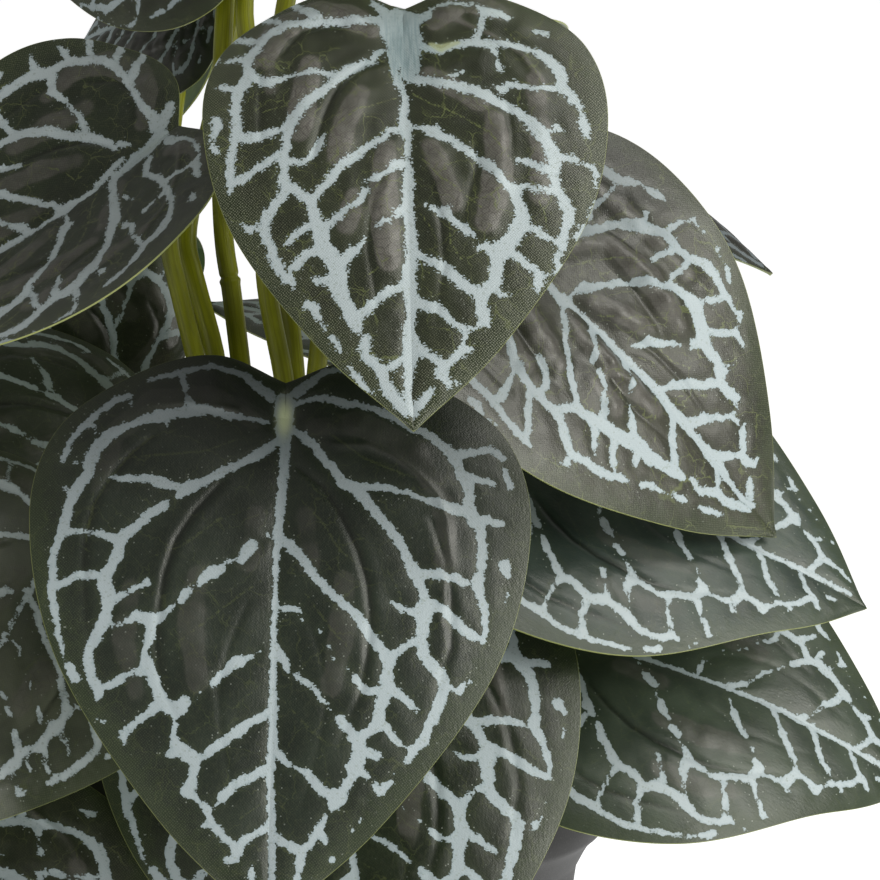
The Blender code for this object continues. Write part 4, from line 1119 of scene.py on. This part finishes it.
def pot_profile():
    """Radius and height in mm, from the middle of the foot round to the middle of the inside."""
    rim_base = POT_HEIGHT - RIM_DEPTH
    wall_top = rim_base - FLARE_DEPTH
    wall = [(BASE_RADIUS + (WALL_TOP_RADIUS - BASE_RADIUS) * (height - FOOT_ROUND)
             / (wall_top - FOOT_ROUND), height) for height in np.linspace(6, wall_top, 16)]
    flare_middle = ((WALL_TOP_RADIUS + RIM_RADIUS) / 2, wall_top + FLARE_DEPTH * 0.65)
    flare = smooth_curve([wall[-1], flare_middle, (RIM_RADIUS, rim_base)], np.linspace(0.2, 1.85, 8))
    lip_centre = POT_HEIGHT - LIP_ROUND
    slope = (FLOOR_INNER_RADIUS - LIP_INNER_RADIUS) / (FLOOR_THICKNESS - POT_HEIGHT)
    return [(0, 0), (20, 0), (40, 0),
            *arc((BASE_RADIUS - FOOT_ROUND, FOOT_ROUND), FOOT_ROUND, -90, -10, 5),
            *wall, *map(tuple, flare), (RIM_RADIUS, rim_base + 0.6), (RIM_RADIUS, rim_base + 4),
            *arc((RIM_RADIUS - LIP_ROUND, lip_centre), LIP_ROUND, 0, 90, 6),
            *arc((LIP_INNER_RADIUS + LIP_ROUND, lip_centre), LIP_ROUND, 90, 180, 6),
            *((FLOOR_INNER_RADIUS + slope * (height - FLOOR_THICKNESS), height)
              for height in (144, 138, 60)),
            (FLOOR_INNER_RADIUS, FLOOR_THICKNESS), (0, FLOOR_THICKNESS)]


def pot(finish):
    """The turned pot, with a rounded rim, a soft flare and a rounded foot."""
    solid = bmesh.new()
    turns = [2 * math.pi * side / POT_SIDES for side in range(POT_SIDES)]
    rings = []
    for radius, height in pot_profile():
        if radius == 0:
            rings.append([solid.verts.new((0, 0, height * MM))] * POT_SIDES)
        else:
            rings.append([solid.verts.new((radius * MM * math.cos(turn),
                                           radius * MM * math.sin(turn), height * MM))
                          for turn in turns])
    for lower, upper in zip(rings, rings[1:]):
        for side in range(POT_SIDES):
            follow = (side + 1) % POT_SIDES
            corners = (lower[side], lower[follow], upper[follow], upper[side])
            solid.faces.new(list(dict.fromkeys(corners)))
    bmesh.ops.recalc_face_normals(solid, faces=solid.faces)
    made = solid_object("turned_pot", solid, finish, 50)
    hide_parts("pot")
    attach(made, "root")


def crumbs(finish):
    """Loose bits of coir on the fill, clear of the petioles."""
    draw = random.Random(3)
    feet = [hole_centre(leaf) for leaf in LEAVES]
    heap = bmesh.new()
    while len(heap.verts) < CRUMB_VERTICES * CRUMBS:
        reach, turn = CRUMB_FIELD * math.sqrt(draw.random()), draw.uniform(0, 2 * math.pi)
        spot = Vector((reach * math.cos(turn), reach * math.sin(turn), 0))
        size = draw.uniform(0.7, 2.4)
        if min((spot - foot).length for foot in feet) < PETIOLE_BASE_RADIUS + 1.2 * size + 0.5:
            continue
        made = bmesh.ops.create_icosphere(heap, subdivisions=2, radius=size * MM)["verts"]
        squeeze = Vector((draw.uniform(0.7, 1.4), draw.uniform(0.6, 1.0), draw.uniform(0.4, 0.8)))
        spin = Matrix.Rotation(draw.uniform(0, 6.28), 3, "Z")
        for vert in made:
            bump = 1 + 0.35 * noise.noise(vert.co / (0.9 * MM) + spot)
            local = vert.co * squeeze * bump
            vert.co = spin @ local + Vector((spot.x, spot.y, FILL_TOP + 0.35 * size)) * MM
    made = solid_object("coir_crumbs", heap, finish)
    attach(made, "root")


# ---------------------------------------------------------------- studio

def area_light(name, place, size, power):
    data = bpy.data.lights.new(name, "AREA")
    data.shape = "RECTANGLE"
    data.size, data.size_y = size
    data.energy = power
    lamp = bpy.data.objects.new(name, data)
    lamp.location = place
    lamp.rotation_euler = (Vector(AIM) - Vector(place)).to_track_quat("-Z", "Y").to_euler()
    bpy.context.scene.collection.objects.link(lamp)


def studio():
    scene = bpy.context.scene
    half = FLOOR_SIZE / 2
    mesh = bpy.data.meshes.new("studio_floor")
    mesh.from_pydata([(-half, -half, 0), (half, -half, 0), (half, half, 0), (-half, half, 0)],
                     [], [(0, 1, 2, 3)])
    placed("studio_floor", mesh, floor_material())
    scene.world = bpy.data.worlds.new("studio_air")
    scene.world.use_nodes = True
    air = scene.world.node_tree.nodes["Background"].inputs
    air["Color"].default_value = (1, 1, 1, 1)
    air["Strength"].default_value = AIR_STRENGTH
    scene.view_settings.view_transform = "Standard"
    for light in LIGHTS:
        area_light(*light)
    data = bpy.data.cameras.new("camera")
    data.lens = CAMERA_LENS
    data.sensor_width = SENSOR_WIDTH
    camera = bpy.data.objects.new("camera", data)
    pitch = math.radians(CAMERA_PITCH)
    back = Vector((0, math.cos(pitch), -math.sin(pitch))) * CAMERA_DISTANCE
    camera.location = Vector(CAMERA_TARGET) - back
    camera.rotation_euler = (math.radians(90 - CAMERA_PITCH), 0, 0)
    scene.collection.objects.link(camera)
    scene.camera = camera


def main():
    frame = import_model()
    cloth, stem, clay, coir = (BladeNodes().finished(), petiole_material(), pot_material(),
                               soil_material())
    for seed, leaf in enumerate(LEAVES):
        blade(leaf, seed, cloth)
        petiole(leaf, seed, stem)
    pot(clay)
    fill = frame["nodes"]["fill"]
    for slot in fill.material_slots:
        slot.material = coir
    crumbs(coir)
    studio()


main()
